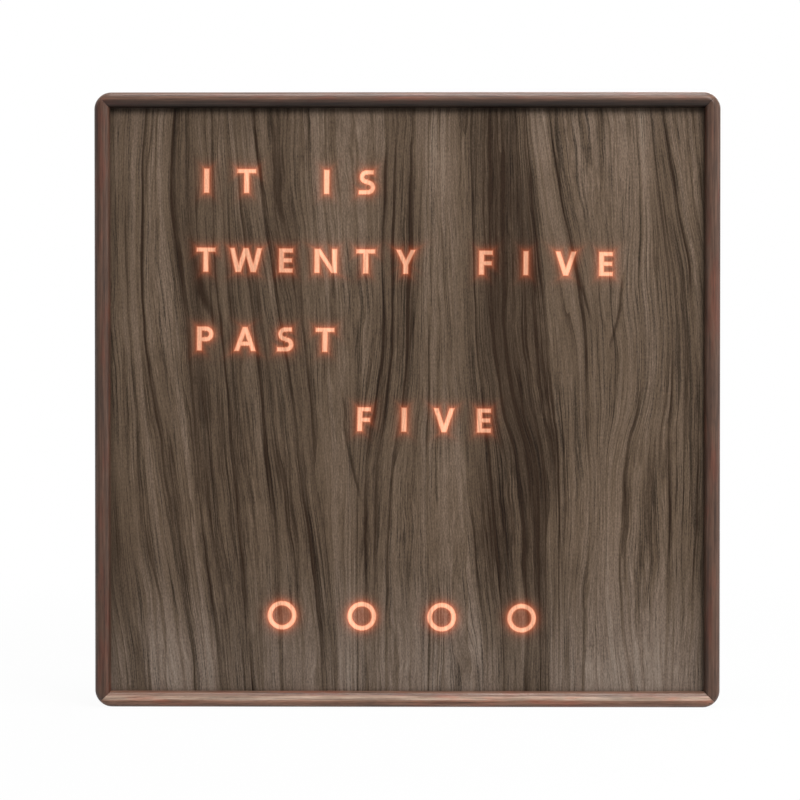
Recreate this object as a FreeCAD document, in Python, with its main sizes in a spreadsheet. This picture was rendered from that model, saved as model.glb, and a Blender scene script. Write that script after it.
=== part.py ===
import FreeCAD, Part
import math
import os

import Sketcher
from FreeCAD import Placement, Rotation, Vector

# Word clock: a shallow walnut box with an unbroken veneer face.
# Lit words shine through the veneer from a film, a diffuser, a light baffle and a board of
# lamps behind it. The back is a recessed cover with three push buttons, a power socket and
# two keyhole hangers.
# +X is the viewer's right, +Z is up, and the face looks along -Y. The origin is under the
# middle of the box, on the surface that it stands on.

doc = FreeCAD.newDocument("word_clock")

# Driving sizes in millimetres, degrees for angles, and counts

SIZES = [
    ("clock_width", 300.0),
    ("clock_height", 295.0),
    ("rail_width", 7.5),
    ("corner_radius", 8.2),
    ("outer_round", 3.5),
    ("inner_round", 2.5),
    ("back_round", 1.0),
    ("face_recess", 5.0),
    ("veneer_thickness", 0.6),
    ("film_thickness", 0.3),
    ("diffuser_thickness", 2.0),
    ("baffle_depth", 8.0),
    ("led_board_thickness", 1.6),
    ("cover_thickness", 3.0),
    ("rear_recess", 12.0),
    ("groove_depth", 3.0),
    ("groove_play", 0.1),
    ("box_play", 0.5),
    ("cover_play", 0.3),
    ("cut_margin", 1.0),
    ("spline_thickness", 1.5),
    ("spline_width", 5.0),
    ("spline_end_gap", 5.0),
    ("cleat_width", 10.0),
    ("grid_columns", 11),
    ("grid_rows", 12),
    ("grid_side_margin", 36.9),
    ("grid_end_margin", 26.3),
    ("cell_wall", 1.2),
    ("baffle_rim", 3.0),
    ("baffle_rib", 8.0),
    ("letter_height", 11.6),
    ("letter_shift", -1.4),
    ("letter_skew", 0.65),
    ("ring_outer_radius", 6.9),
    ("ring_inner_radius", 4.7),
    ("led_size", 5.0),
    ("led_height", 1.6),
    ("led_lens_radius", 1.9),
    ("led_lens_depth", 0.3),
    ("small_screw_radius", 1.5),
    ("small_head_radius", 2.6),
    ("small_head_height", 1.4),
    ("screw_play", 0.15),
    ("cover_screw_radius", 1.6),
    ("cover_screw_length", 11.0),
    ("cover_head_radius", 3.0),
    ("cover_head_height", 1.7),
    ("cover_screw_inset", 24.0),
    ("baffle_screw_length", 6.5),
    ("board_width", 70.0),
    ("board_height", 50.0),
    ("board_thickness", 1.6),
    ("board_lift", 25.0),
    ("board_hole_inset", 4.0),
    ("standoff_radius", 3.0),
    ("thread_bite", 2.0),
    ("holder_radius", 11.6),
    ("holder_height", 4.0),
    ("holder_floor", 0.6),
    ("holder_slot", 8.0),
    ("holder_inset", 18.0),
    ("holder_gap", 0.9),
    ("cell_radius", 10.0),
    ("cell_thickness", 3.2),
    ("cell_play", 0.15),
    ("processor_size", 14.0),
    ("processor_height", 1.4),
    ("timer_length", 10.3),
    ("timer_width", 7.5),
    ("timer_height", 2.3),
    ("chip_inset", 20.0),
    ("chip_spread", 10.0),
    ("switch_size", 6.0),
    ("switch_height", 3.5),
    ("plunger_radius", 1.7),
    ("plunger_hold", 1.5),
    ("plunger_play", 0.15),
    ("button_travel", 0.5),
    ("stop_gap", 0.2),
    ("flange_gap", 0.2),
    ("flange_thickness", 0.6),
    ("flange_overlap", 1.0),
    ("cap_radius", 3.5),
    ("cap_play", 0.3),
    ("cap_proud", 2.0),
    ("cap_roof", 1.6),
    ("cap_round", 0.8),
    ("button_pitch", 14.0),
    ("button_side", -8.0),
    ("button_drop", 12.0),
    ("jack_side", 24.0),
    ("jack_base", 10.0),
    ("jack_radius", 4.4),
    ("jack_bore_radius", 2.9),
    ("jack_pin_radius", 1.0),
    ("jack_floor", 0.8),
    ("jack_proud", 1.0),
    ("jack_play", 0.3),
    ("pin_drop", 0.6),
    ("notch_width", 8.0),
    ("notch_depth", 7.0),
    ("connector_length", 16.0),
    ("connector_width", 5.0),
    ("connector_height", 4.0),
    ("connector_side", 60.0),
    ("connector_drop", 15.0),
    ("ribbon_thickness", 0.9),
    ("ribbon_width", 12.0),
    ("ribbon_bend", 1.5),
    ("hanger_spacing", 160.0),
    ("hanger_drop", 48.0),
    ("hanger_block_width", 34.0),
    ("hanger_block_height", 48.0),
    ("hanger_plate_width", 28.0),
    ("hanger_plate_height", 44.0),
    ("hanger_plate_thickness", 1.5),
    ("hanger_plate_round", 4.0),
    ("hanger_wall_gap", 1.6),
    ("hanger_pocket_width", 16.0),
    ("hanger_pocket_height", 26.0),
    ("hanger_pocket_depth", 6.5),
    ("keyhole_entry_radius", 5.0),
    ("keyhole_slot_radius", 2.2),
    ("keyhole_slot_rise", 9.0),
    ("keyhole_drop", 5.0),
    ("hanger_screw_inset", 4.0),
    ("hanger_screw_length", 6.0),
]

# Places that follow from the sizes

PLACES = [
    ("grooved_stack", "sizes.veneer_thickness + sizes.film_thickness + sizes.diffuser_thickness"),
    ("standoff_height", "sizes.switch_height + sizes.button_travel + sizes.stop_gap"
                        " + sizes.flange_thickness + sizes.flange_gap"),
    ("board_gap", "sizes.holder_height + sizes.holder_gap"),
    ("component_space", "places.standoff_height + sizes.board_thickness + places.board_gap"),
    ("clock_depth", "sizes.face_recess + places.grooved_stack + sizes.baffle_depth"
                    " + sizes.led_board_thickness + places.component_space"
                    " + sizes.cover_thickness + sizes.rear_recess"),
    ("front_y", "-places.clock_depth / 2"),
    ("rear_y", "places.clock_depth / 2"),
    ("veneer_y", "places.front_y + sizes.face_recess"),
    ("film_y", "places.veneer_y + sizes.veneer_thickness"),
    ("diffuser_y", "places.film_y + sizes.film_thickness"),
    ("baffle_y", "places.diffuser_y + sizes.diffuser_thickness"),
    ("led_board_y", "places.baffle_y + sizes.baffle_depth"),
    ("space_y", "places.led_board_y + sizes.led_board_thickness"),
    ("board_y", "places.space_y + places.board_gap"),
    ("board_rear_y", "places.board_y + sizes.board_thickness"),
    ("cover_y", "places.board_rear_y + places.standoff_height"),
    ("cover_rear_y", "places.cover_y + sizes.cover_thickness"),
    ("opening_width", "sizes.clock_width - 2 * sizes.rail_width"),
    ("opening_height", "sizes.clock_height - 2 * sizes.rail_width"),
    ("middle_z", "sizes.clock_height / 2"),
    ("sheet_width", "places.opening_width + 2 * (sizes.groove_depth - sizes.groove_play)"),
    ("sheet_height", "places.opening_height + 2 * (sizes.groove_depth - sizes.groove_play)"),
    ("box_width", "places.opening_width - 2 * sizes.box_play"),
    ("box_height", "places.opening_height - 2 * sizes.box_play"),
    ("grid_width", "places.opening_width - 2 * sizes.grid_side_margin"),
    ("grid_height", "places.opening_height - 2 * sizes.grid_end_margin"),
    ("column_pitch", "places.grid_width / sizes.grid_columns"),
    ("row_pitch", "places.grid_height / sizes.grid_rows"),
    ("corner_wood", "sizes.corner_radius - (sizes.corner_radius - sizes.rail_width) * sqrt(2)"),
    ("spline_reach", "places.corner_wood / 2 / sqrt(2)"),
    ("spline_y", "places.baffle_y + sizes.groove_play + sizes.spline_end_gap"),
    ("spline_length", "places.rear_y - sizes.spline_end_gap - places.spline_y"),
    ("cleat_x", "places.opening_width / 2 - sizes.cleat_width / 2"),
    ("cleat_z", "places.opening_height / 2 - sizes.cleat_width / 2"),
    ("cover_screw_x", "places.opening_width / 2 - sizes.cover_screw_inset"),
    ("baffle_screw_x", "places.grid_width / 2 + sizes.grid_side_margin / 2"),
    ("baffle_screw_z", "places.grid_height / 2 - sizes.baffle_rib / 2"),
    ("board_z", "sizes.rail_width + sizes.cleat_width + sizes.board_lift + sizes.board_height / 2"),
    ("standoff_x", "sizes.board_width / 2 - sizes.board_hole_inset"),
    ("standoff_z", "sizes.board_height / 2 - sizes.board_hole_inset"),
    ("switch_top_y", "places.board_rear_y + sizes.switch_height"),
    ("plunger_y", "places.switch_top_y - sizes.plunger_hold"),
    ("flange_y", "places.switch_top_y + sizes.button_travel + sizes.stop_gap"),
    ("flange_rear_y", "places.flange_y + sizes.flange_thickness"),
    ("cap_rear_y", "places.cover_rear_y + sizes.cap_proud"),
    ("plunger_rear_y", "places.cap_rear_y - sizes.cap_roof"),
    ("button_z", "places.board_z - sizes.button_drop"),
    ("jack_rear_y", "places.cover_rear_y + sizes.jack_proud"),
    ("holder_x", "sizes.holder_inset - sizes.board_width / 2"),
    ("chip_x", "sizes.board_width / 2 - sizes.chip_inset"),
    ("connector_z", "places.board_z + sizes.board_height / 2 - sizes.connector_drop"),
    ("board_connector_x", "sizes.board_width / 2 - sizes.connector_width"),
    ("ribbon_y", "places.board_rear_y + sizes.connector_height / 2"),
    ("hanger_x", "sizes.hanger_spacing / 2"),
    ("hanger_z", "sizes.clock_height - sizes.rail_width - sizes.hanger_drop"),
    ("hanger_plate_y", "places.rear_y - sizes.hanger_wall_gap - sizes.hanger_plate_thickness"),
    ("keyhole_z", "places.hanger_z - sizes.keyhole_drop"),
    ("hanger_screw_rise", "sizes.hanger_plate_height / 2 - sizes.hanger_screw_inset"),
]


def fill_sheet(name, rows, as_formula):
    """Make a sheet whose aliased cells hold the rows' values."""
    sheet = doc.addObject("Spreadsheet::Sheet", name)
    for number, (alias, content) in enumerate(rows, start=1):
        sheet.set(f"A{number}", alias)
        sheet.set(f"B{number}", f"={content}" if as_formula else str(content))
        sheet.setAlias(f"B{number}", alias)
    doc.recompute()
    return sheet


sizes = fill_sheet("sizes", SIZES, False)
places = fill_sheet("places", PLACES, True)

TO_REAR = Rotation(Vector(1, 0, 0), -90)
nodes = []


def value(text):
    """Work out an expression on the two sheets as a plain number."""
    return float(places.evalExpression(text))


def keep(piece, label):
    """Give a finished piece the name that its file will have."""
    piece.Label = label
    nodes.append(piece)
    return piece


def bind(piece, **texts):
    """Tie properties of a piece to expressions on the sheets."""
    for name, text in texts.items():
        piece.setExpression(name, text)


def put(piece, x="0", y="0", z="0"):
    """Tie the place of a piece to expressions on the sheets."""
    piece.setExpression("Placement.Base.x", x)
    piece.setExpression("Placement.Base.y", y)
    piece.setExpression("Placement.Base.z", z)
    return piece


# Solids from primitives

def block(name, wide, deep, high, x="0", y="0", z="0"):
    """A box centred on x and z, whose front face is at y."""
    piece = doc.addObject("Part::Box", name)
    bind(piece, Length=wide, Width=deep, Height=high)
    return put(piece, f"{x} - ({wide}) / 2", y, f"{z} - ({high}) / 2")


def rod(name, radius, length, x="0", y="0", z="0"):
    """A round bar that starts at y and runs to the rear."""
    piece = doc.addObject("Part::Cylinder", name)
    piece.Placement = Placement(Vector(), TO_REAR)
    bind(piece, Radius=radius, Height=length)
    return put(piece, x, y, z)


def cut(name, base, tools):
    """Take the tools away from the base."""
    gathered = tools[0]
    if len(tools) > 1:
        gathered = doc.addObject("Part::MultiFuse", f"{name}_tools")
        gathered.Shapes = tools
    piece = doc.addObject("Part::Cut", name)
    piece.Base = base
    piece.Tool = gathered
    return piece


def fuse(name, first, second):
    """Join two solids into one."""
    piece = doc.addObject("Part::Fuse", name)
    piece.Base = first
    piece.Tool = second
    piece.Refine = True
    return piece


def group(name, solids):
    """Gather separate equal solids in one node."""
    piece = doc.addObject("Part::Compound", name)
    piece.Links = solids
    return piece


def screws(label, spots, radius, length, head_radius, head_height, seat_y, head_at_rear):
    """Pan-headed screws on the spots, whose heads sit on seat_y."""
    made = []
    for number, (x, z) in enumerate(spots, start=1):
        head_y = seat_y if head_at_rear else f"{seat_y} - {head_height}"
        shank_y = f"{seat_y} - {length}" if head_at_rear else seat_y
        head = rod(f"{label}_head_{number}", head_radius, head_height, x, head_y, z)
        shank = rod(f"{label}_shank_{number}", radius, length, x, shank_y, z)
        made.append(fuse(f"{label}_{number}", head, shank))
    return keep(group(label, made), label)


# Solids from sketches

def body_plane(body, role):
    """The named origin plane of a body."""
    return next(item for item in body.Origin.OriginFeatures if item.Role == role)


def new_sketch(body, name, role, lift="0"):
    """A sketch on an origin plane of its body, lifted along the plane's normal."""
    sketch = body.newObject("Sketcher::SketchObject", name)
    sketch.AttachmentSupport = [(body_plane(body, role), "")]
    sketch.MapMode = "FlatFace"
    sketch.setExpression("AttachmentOffset.Base.z", lift)
    return sketch


def outline(sketch, points):
    """Draw a closed outline whose corners are tied to expressions."""
    corners = [Vector(value(x), value(y), 0) for x, y in points]
    first = sketch.GeometryCount
    count = len(points)
    for number in range(count):
        line = Part.LineSegment(corners[number], corners[(number + 1) % count])
        sketch.addGeometry(line, False)
    for number in range(count):
        here = first + number
        after = first + (number + 1) % count
        sketch.addConstraint(Sketcher.Constraint("Coincident", here, 2, after, 1))
    for number, (x, y) in enumerate(points):
        for kind, text in (("DistanceX", x), ("DistanceY", y)):
            held = Sketcher.Constraint(kind, -1, 1, first + number, 1, value(text))
            sketch.setExpression(f"Constraints[{sketch.addConstraint(held)}]", text)


def rectangle(sketch, wide, high, x="0", y="0"):
    """Draw a rectangle centred on x and y."""
    left, right = f"{x} - ({wide}) / 2", f"{x} + ({wide}) / 2"
    low, top = f"{y} - ({high}) / 2", f"{y} + ({high}) / 2"
    outline(sketch, [(left, low), (right, low), (right, top), (left, top)])


def circle(sketch, radius, x="0", y="0"):
    """Draw a circle about x and y."""
    centre = Vector(value(x), value(y), 0)
    number = sketch.addGeometry(Part.Circle(centre, Vector(0, 0, 1), value(radius)), False)
    for kind, text in (("DistanceX", x), ("DistanceY", y)):
        held = Sketcher.Constraint(kind, -1, 1, number, 3, value(text))
        sketch.setExpression(f"Constraints[{sketch.addConstraint(held)}]", text)
    held = Sketcher.Constraint("Radius", number, value(radius))
    sketch.setExpression(f"Constraints[{sketch.addConstraint(held)}]", radius)


def feature(body, kind, name, sketch, length):
    """Pad or pocket a sketch from its plane towards the rear."""
    made = body.newObject(kind, name)
    made.Profile = sketch
    made.Reversed = kind == "PartDesign::Pad"
    made.setExpression("Length", length)
    sketch.Visibility = False
    return made


def face_body(name, wide, high, y, thick):
    """A body that holds a flat plate centred on the face, with its front at y."""
    body = doc.addObject("PartDesign::Body", name)
    sketch = new_sketch(body, f"{name}_sketch", "XZ_Plane", f"-({y})")
    rectangle(sketch, wide, high, "0", "places.middle_z")
    feature(body, "PartDesign::Pad", f"{name}_plate", sketch, thick)
    return body


def pattern_down(body, name, originals, rows):
    """Repeat one row's features down the grid."""
    pattern = body.newObject("PartDesign::LinearPattern", name)
    pattern.Originals = originals
    pattern.Direction = (body_plane(body, "Z_Axis"), [""])
    pattern.Reversed = True
    pattern.setExpression("Occurrences", rows)
    pattern.setExpression("Length", f"places.row_pitch * ({rows} - 1)")
    body.Tip = pattern
    return pattern


def edges_at(solid, test):
    """Names of the edges whose middle point and direction pass the test."""
    names = []
    for number, edge in enumerate(solid.Shape.Edges, start=1):
        middle = edge.valueAt((edge.FirstParameter + edge.LastParameter) / 2)
        along = edge.tangentAt((edge.FirstParameter + edge.LastParameter) / 2)
        if test(middle, along):
            names.append(f"Edge{number}")
    return names


def round_edges(body, name, base, test, radius):
    """Round the edges of a body that pass the test."""
    doc.recompute()
    made = body.newObject("PartDesign::Fillet", name)
    made.Base = (base, edges_at(base, test))
    made.setExpression("Radius", radius)
    return made


# Wooden frame: one rounded ring, mitred into four rails

TOUCH = 0.01


def near(first, second):
    """Whether two lengths agree."""
    return abs(first - second) < TOUCH


def frame_ring():
    """The whole frame before it is cut at the mitres."""
    ring = doc.addObject("PartDesign::Body", "frame_ring")
    outside = new_sketch(ring, "frame_outside", "XZ_Plane", "-places.front_y")
    rectangle(outside, "sizes.clock_width", "sizes.clock_height", "0", "places.middle_z")
    pad = feature(ring, "PartDesign::Pad", "frame_pad", outside, "places.clock_depth")
    corners = round_edges(ring, "frame_corners", pad,
                          lambda spot, along: near(abs(along.y), 1), "sizes.corner_radius")
    front = round_edges(ring, "frame_front_round", corners,
                        lambda spot, along: near(spot.y, value("places.front_y")),
                        "sizes.outer_round")
    round_edges(ring, "frame_back_round", front,
                lambda spot, along: near(spot.y, value("places.rear_y")), "sizes.back_round")
    inside = new_sketch(ring, "frame_inside", "XZ_Plane", "-places.front_y")
    rectangle(inside, "places.opening_width", "places.opening_height", "0", "places.middle_z")
    hole = feature(ring, "PartDesign::Pocket", "frame_opening", inside, "places.clock_depth")
    hole.Reversed = False
    half_width = value("places.opening_width") / 2
    half_height = value("places.opening_height") / 2
    middle = value("places.middle_z")

    def inner_front(spot, along):
        on_side = near(abs(spot.x), half_width) or near(abs(spot.z - middle), half_height)
        return near(spot.y, value("places.front_y")) and on_side

    round_edges(ring, "frame_inner_round", hole, inner_front, "sizes.inner_round")
    groove = new_sketch(ring, "frame_groove_sketch", "XZ_Plane", "-places.veneer_y")
    rectangle(groove, "places.opening_width + 2 * sizes.groove_depth",
              "places.opening_height + 2 * sizes.groove_depth", "0", "places.middle_z")
    feature(ring, "PartDesign::Pocket", "frame_groove", groove,
            "places.grooved_stack + sizes.groove_play")
    return ring


def corner_splines():
    """Four thin strips, glued across the mitres."""
    strips = []
    for side in (-1, 1):
        for level in (-1, 1):
            strip = doc.addObject("Part::Box", f"spline_{len(strips) + 1}")
            bind(strip, Length="sizes.spline_width", Width="places.spline_length",
                 Height="sizes.spline_thickness")
            turn = 45 * side * level
            strip.Placement = Placement(Vector(), Rotation(Vector(0, 1, 0), turn))
            lean = math.radians(turn)
            half_wide, half_thick = "sizes.spline_width / 2", "sizes.spline_thickness / 2"
            x = f"{side} * (places.opening_width / 2 + places.spline_reach)"
            z = f"places.middle_z + {level} * (places.opening_height / 2 + places.spline_reach)"
            put(strip,
                f"{x} - {math.cos(lean)} * {half_wide} - {math.sin(lean)} * {half_thick}",
                "places.spline_y",
                f"{z} + {math.sin(lean)} * {half_wide} - {math.cos(lean)} * {half_thick}")
            strips.append(strip)
    return keep(group("corner_splines", strips), "corner_splines")


def mitre_wedge(name, turn, length, reach):
    """The prism that one rail keeps of the ring."""
    wedge = doc.addObject("Part::Wedge", name)
    half_depth = "places.clock_depth / 2 + sizes.cut_margin"
    near_end = f"{length} / 2 - sizes.rail_width - sizes.cut_margin"
    far_end = f"{length} / 2 + sizes.cut_margin"
    bind(wedge, Xmin=f"-({near_end})", Xmax=near_end, X2min=f"-({far_end})", X2max=far_end,
         Ymin=f"{reach} / 2 - sizes.rail_width - sizes.cut_margin",
         Ymax=f"{reach} / 2 + sizes.cut_margin",
         Zmin=f"-({half_depth})", Zmax=half_depth, Z2min=f"-({half_depth})", Z2max=half_depth)
    upright = Rotation(Vector(1, 0, 0), 90)
    wedge.Placement = Placement(Vector(), Rotation(Vector(0, 1, 0), turn).multiply(upright))
    return put(wedge, "0", "0", "places.middle_z")


def frame_rails():
    """Four mitred rails, with a notch for the power lead in the bottom one."""
    ring = cut("frame_slotted", frame_ring(), [corner_splines()])
    across, upright = "sizes.clock_width", "sizes.clock_height"
    for label, turn, length, reach in (("rail_top", 0, across, upright),
                                       ("rail_right", 90, upright, across),
                                       ("rail_bottom", 180, across, upright),
                                       ("rail_left", 270, upright, across)):
        rail = doc.addObject("Part::Common", f"{label}_blank")
        rail.Base = ring
        rail.Tool = mitre_wedge(f"{label}_wedge", turn, length, reach)
        if label == "rail_bottom":
            notch = block("cable_notch", "sizes.notch_width", "sizes.notch_depth + sizes.cut_margin",
                          "2 * (sizes.rail_width + sizes.cut_margin)",
                          "sizes.jack_side", "places.rear_y - sizes.notch_depth")
            rail = cut("rail_bottom_notched", rail, [notch])
        keep(rail, label)


# Sheets held in the groove of the frame

def sheet(label, y, thick):
    """A sheet that fills the groove."""
    keep(face_body(label, "places.sheet_width", "places.sheet_height", y, thick), label)


# Letters of the mask, as plain strokes in tenths of the letter's height.
# A bar is (left, bottom, right, top). A slant is (foot x, foot z, head x, head z) with level
# ends. A bow is (centre x, centre z, outer radius, start angle, end angle).

STEM = 2.15
BAR = 1.75
SLANT = 2.15
BOW = 1.95
TALL = 10.0

GLYPHS = {
    "A": (9.2, [("slant", 1.1, 0, 4.6, TALL), ("slant", 8.1, 0, 4.6, TALL),
                ("bar", 2.2, 2.2, 7.0, 2.2 + BAR)]),
    "C": (8.8, [("bow", 5.0, 5.0, 5.1, 45, 315)]),
    "E": (5.8, [("bar", 0, 0, STEM, TALL), ("bar", 1, 0, 5.8, BAR),
                ("bar", 1, 4.2, 5.5, 4.2 + BAR), ("bar", 1, TALL - BAR, 5.8, TALL)]),
    "F": (5.6, [("bar", 0, 0, STEM, TALL), ("bar", 1, 3.9, 5.3, 3.9 + BAR),
                ("bar", 1, TALL - BAR, 5.6, TALL)]),
    "G": (9.6, [("bow", 5.0, 5.0, 5.1, 45, 350), ("bar", 5.2, 3.8, 10.0, 3.8 + BAR)]),
    "H": (8.6, [("bar", 0, 0, STEM, TALL), ("bar", 8.6 - STEM, 0, 8.6, TALL),
                ("bar", 1, 4.2, 7.6, 4.2 + BAR)]),
    "I": (STEM, [("bar", 0, 0, STEM, TALL)]),
    "K": (7.8, [("bar", 0, 0, STEM, TALL), ("slant", 1.6, 4.0, 6.3, TALL),
                ("slant", 6.7, 0, 2.8, 5.2)]),
    "L": (5.6, [("bar", 0, 0, STEM, TALL), ("bar", 1, 0, 5.6, BAR)]),
    "N": (9.3, [("bar", 0, 0, STEM, TALL), ("bar", 9.3 - STEM, 0, 9.3, TALL),
                ("slant", 8.0, 0, 1.3, TALL)]),
    "O": (10.2, [("bow", 5.1, 5.0, 5.1, 0, 360)]),
    "P": (6.9, [("bar", 0, 0, STEM, TALL), ("bar", 1, TALL - BAR, 3.9, TALL),
                ("bar", 1, 3.8, 3.9, 3.8 + BAR), ("bow", 3.8, 6.9, 3.1, -91, 91)]),
    "Q": (10.2, [("bow", 5.1, 5.0, 5.1, 0, 360), ("slant", 9.2, -1.4, 5.8, 2.6)]),
    "R": (7.6, [("bar", 0, 0, STEM, TALL), ("bar", 1, TALL - BAR, 3.9, TALL),
                ("bar", 1, 4.0, 3.9, 4.0 + BAR), ("bow", 3.8, 7.0, 3.0, -91, 91),
                ("slant", 6.6, 0, 3.4, 4.6)]),
    "S": (6.6, [("bow", 3.4, 7.1, 3.0, 40, 272), ("bow", 3.2, 3.0, 3.05, -140, 92)]),
    "T": (7.8, [("bar", 3.9 - STEM / 2, 0, 3.9 + STEM / 2, TALL),
                ("bar", 0, TALL - BAR, 7.8, TALL)]),
    "U": (8.6, [("bar", 0, 4.2, STEM, TALL), ("bar", 8.6 - STEM, 4.2, 8.6, TALL),
                ("bow", 4.3, 4.3, 4.35, 180, 360)]),
    "V": (8.8, [("slant", 4.4, 0, 1.1, TALL), ("slant", 4.4, 0, 7.7, TALL)]),
    "W": (13.6, [("slant", 3.6, 0, 1.1, TALL), ("slant", 3.7, 0, 6.8, TALL),
                 ("slant", 9.9, 0, 6.8, TALL), ("slant", 10.0, 0, 12.5, TALL)]),
    "X": (8.4, [("slant", 1.2, 0, 7.2, TALL), ("slant", 7.2, 0, 1.2, TALL)]),
    "Y": (8.2, [("slant", 4.1, 3.6, 1.1, TALL), ("slant", 4.1, 3.6, 7.1, TALL),
                ("bar", 4.1 - STEM / 2, 0, 4.1 + STEM / 2, 4.4)]),
}

WORD_ROWS = [
    "IT IS  HALF",
    "A QUARTER  ",
    "TWENTY FIVE",
    "    TEN    ",
    "PAST TO ONE",
    "TWO  THREE ",
    "FOURFIVESIX",
    "SEVEN EIGHT",
    "NINE ELEVEN",
    "TEN  TWELVE",
    "     OCLOCK",
]
RING_COLUMNS = (2, 4, 6, 8)
FULL_TURN = 360


def polygon_face(points):
    """A flat face in the plane of the film."""
    corners = [Vector(x, 0, z) for x, z in points]
    return Part.Face(Part.makePolygon(corners + corners[:1]))


def bow_face(x, z, outer, inner, start, end):
    """A round stroke: part of a flat ring in the plane of the film."""
    centre, forward = Vector(x, 0, z), Vector(0, -1, 0)
    if end - start == FULL_TURN:
        disc = Part.Face(Part.Wire(Part.makeCircle(outer, centre, forward)))
        return disc.cut(Part.Face(Part.Wire(Part.makeCircle(inner, centre, forward))))
    ring = []
    for radius in (outer, inner):
        spots = []
        for angle in (start, (start + end) / 2, end):
            turn = math.radians(angle)
            spots.append(centre + Vector(math.cos(turn), 0, math.sin(turn)) * radius)
        ring.append(spots)
    edges = [
        Part.Arc(*ring[0]).toShape(),
        Part.makeLine(ring[0][2], ring[1][2]),
        Part.Arc(*reversed(ring[1])).toShape(),
        Part.makeLine(ring[1][0], ring[0][0]),
    ]
    return Part.Face(Part.Wire(edges))


def stroke_face(kind, *numbers):
    """One stroke of a letter, in tenths of the letter's height."""
    if kind == "bar":
        left, low, right, top = numbers
        return polygon_face([(left, low), (right, low), (right, top), (left, top)])
    if kind == "slant":
        foot, low, head, top = numbers
        half = SLANT / 2
        return polygon_face([(foot - half, low), (foot + half, low),
                             (head + half, top), (head - half, top)])
    x, z, outer, start, end = numbers
    return bow_face(x, z, outer, outer - BOW, start, end)


def glyph_face(letter):
    """A letter as one flat shape, centred on its cell and at its real height."""
    wide, strokes = GLYPHS[letter]
    faces = [stroke_face(*stroke) for stroke in strokes]
    shape = faces[0].multiFuse(faces[1:]).removeSplitter() if len(faces) > 1 else faces[0]
    shape.translate(Vector(-wide / 2, 0, -TALL / 2))
    return shape.scaled(sizes.letter_height / TALL)


def cell_centre(column, row):
    """Middle of a cell of the grid, counted from the top left."""
    x = (column - (sizes.grid_columns - 1) / 2) * places.column_pitch
    z = places.middle_z + ((sizes.grid_rows - 1) / 2 - row) * places.row_pitch
    return Vector(x, 0, z)


def letter_mask():
    """The black film, cut through at every letter. The middles of closed letters stay."""
    glyphs = {letter: glyph_face(letter) for letter in sorted(set("".join(WORD_ROWS)) - {" "})}
    shapes = []
    for row, words in enumerate(WORD_ROWS):
        for column, letter in enumerate(words):
            if letter != " ":
                glyph = glyphs[letter].copy()
                glyph.translate(cell_centre(column, row))
                shapes.append(glyph)
    for column in RING_COLUMNS:
        spot = cell_centre(column, sizes.grid_rows - 1)
        shapes.append(bow_face(spot.x, spot.z, sizes.ring_outer_radius,
                               sizes.ring_inner_radius, 0, FULL_TURN))
    letters = Part.makeCompound(shapes)
    middle = Vector(0, 0, places.middle_z)
    letters.rotate(middle, Vector(0, 1, 0), sizes.letter_skew)
    letters.translate(Vector(sizes.letter_shift, 0, 0))
    half_width, low = places.sheet_width / 2, places.middle_z - places.sheet_height / 2
    film = polygon_face([(-half_width, low), (half_width, low),
                         (half_width, low + places.sheet_height),
                         (-half_width, low + places.sheet_height)])
    mask = doc.addObject("Part::Feature", "letter_mask")
    mask.Shape = film.cut(letters).extrude(Vector(0, sizes.film_thickness, 0))
    mask.Placement = Placement(Vector(0, places.film_y, 0), Rotation())
    keep(mask, "letter_mask")


# Light box: a baffle with one cell for each letter, and the board of lamps

def four_ways(x, z):
    """The spots at both sides of the middle, at both levels."""
    return [(f"{side} * ({x})", f"places.middle_z + {level} * ({z})")
            for side in (-1, 1) for level in (-1, 1)]


BAFFLE_SPOTS = four_ways("places.baffle_screw_x", "places.baffle_screw_z") + [
    ("-places.baffle_screw_x", "places.middle_z"),
    ("places.baffle_screw_x", "places.middle_z"),
]


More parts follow.
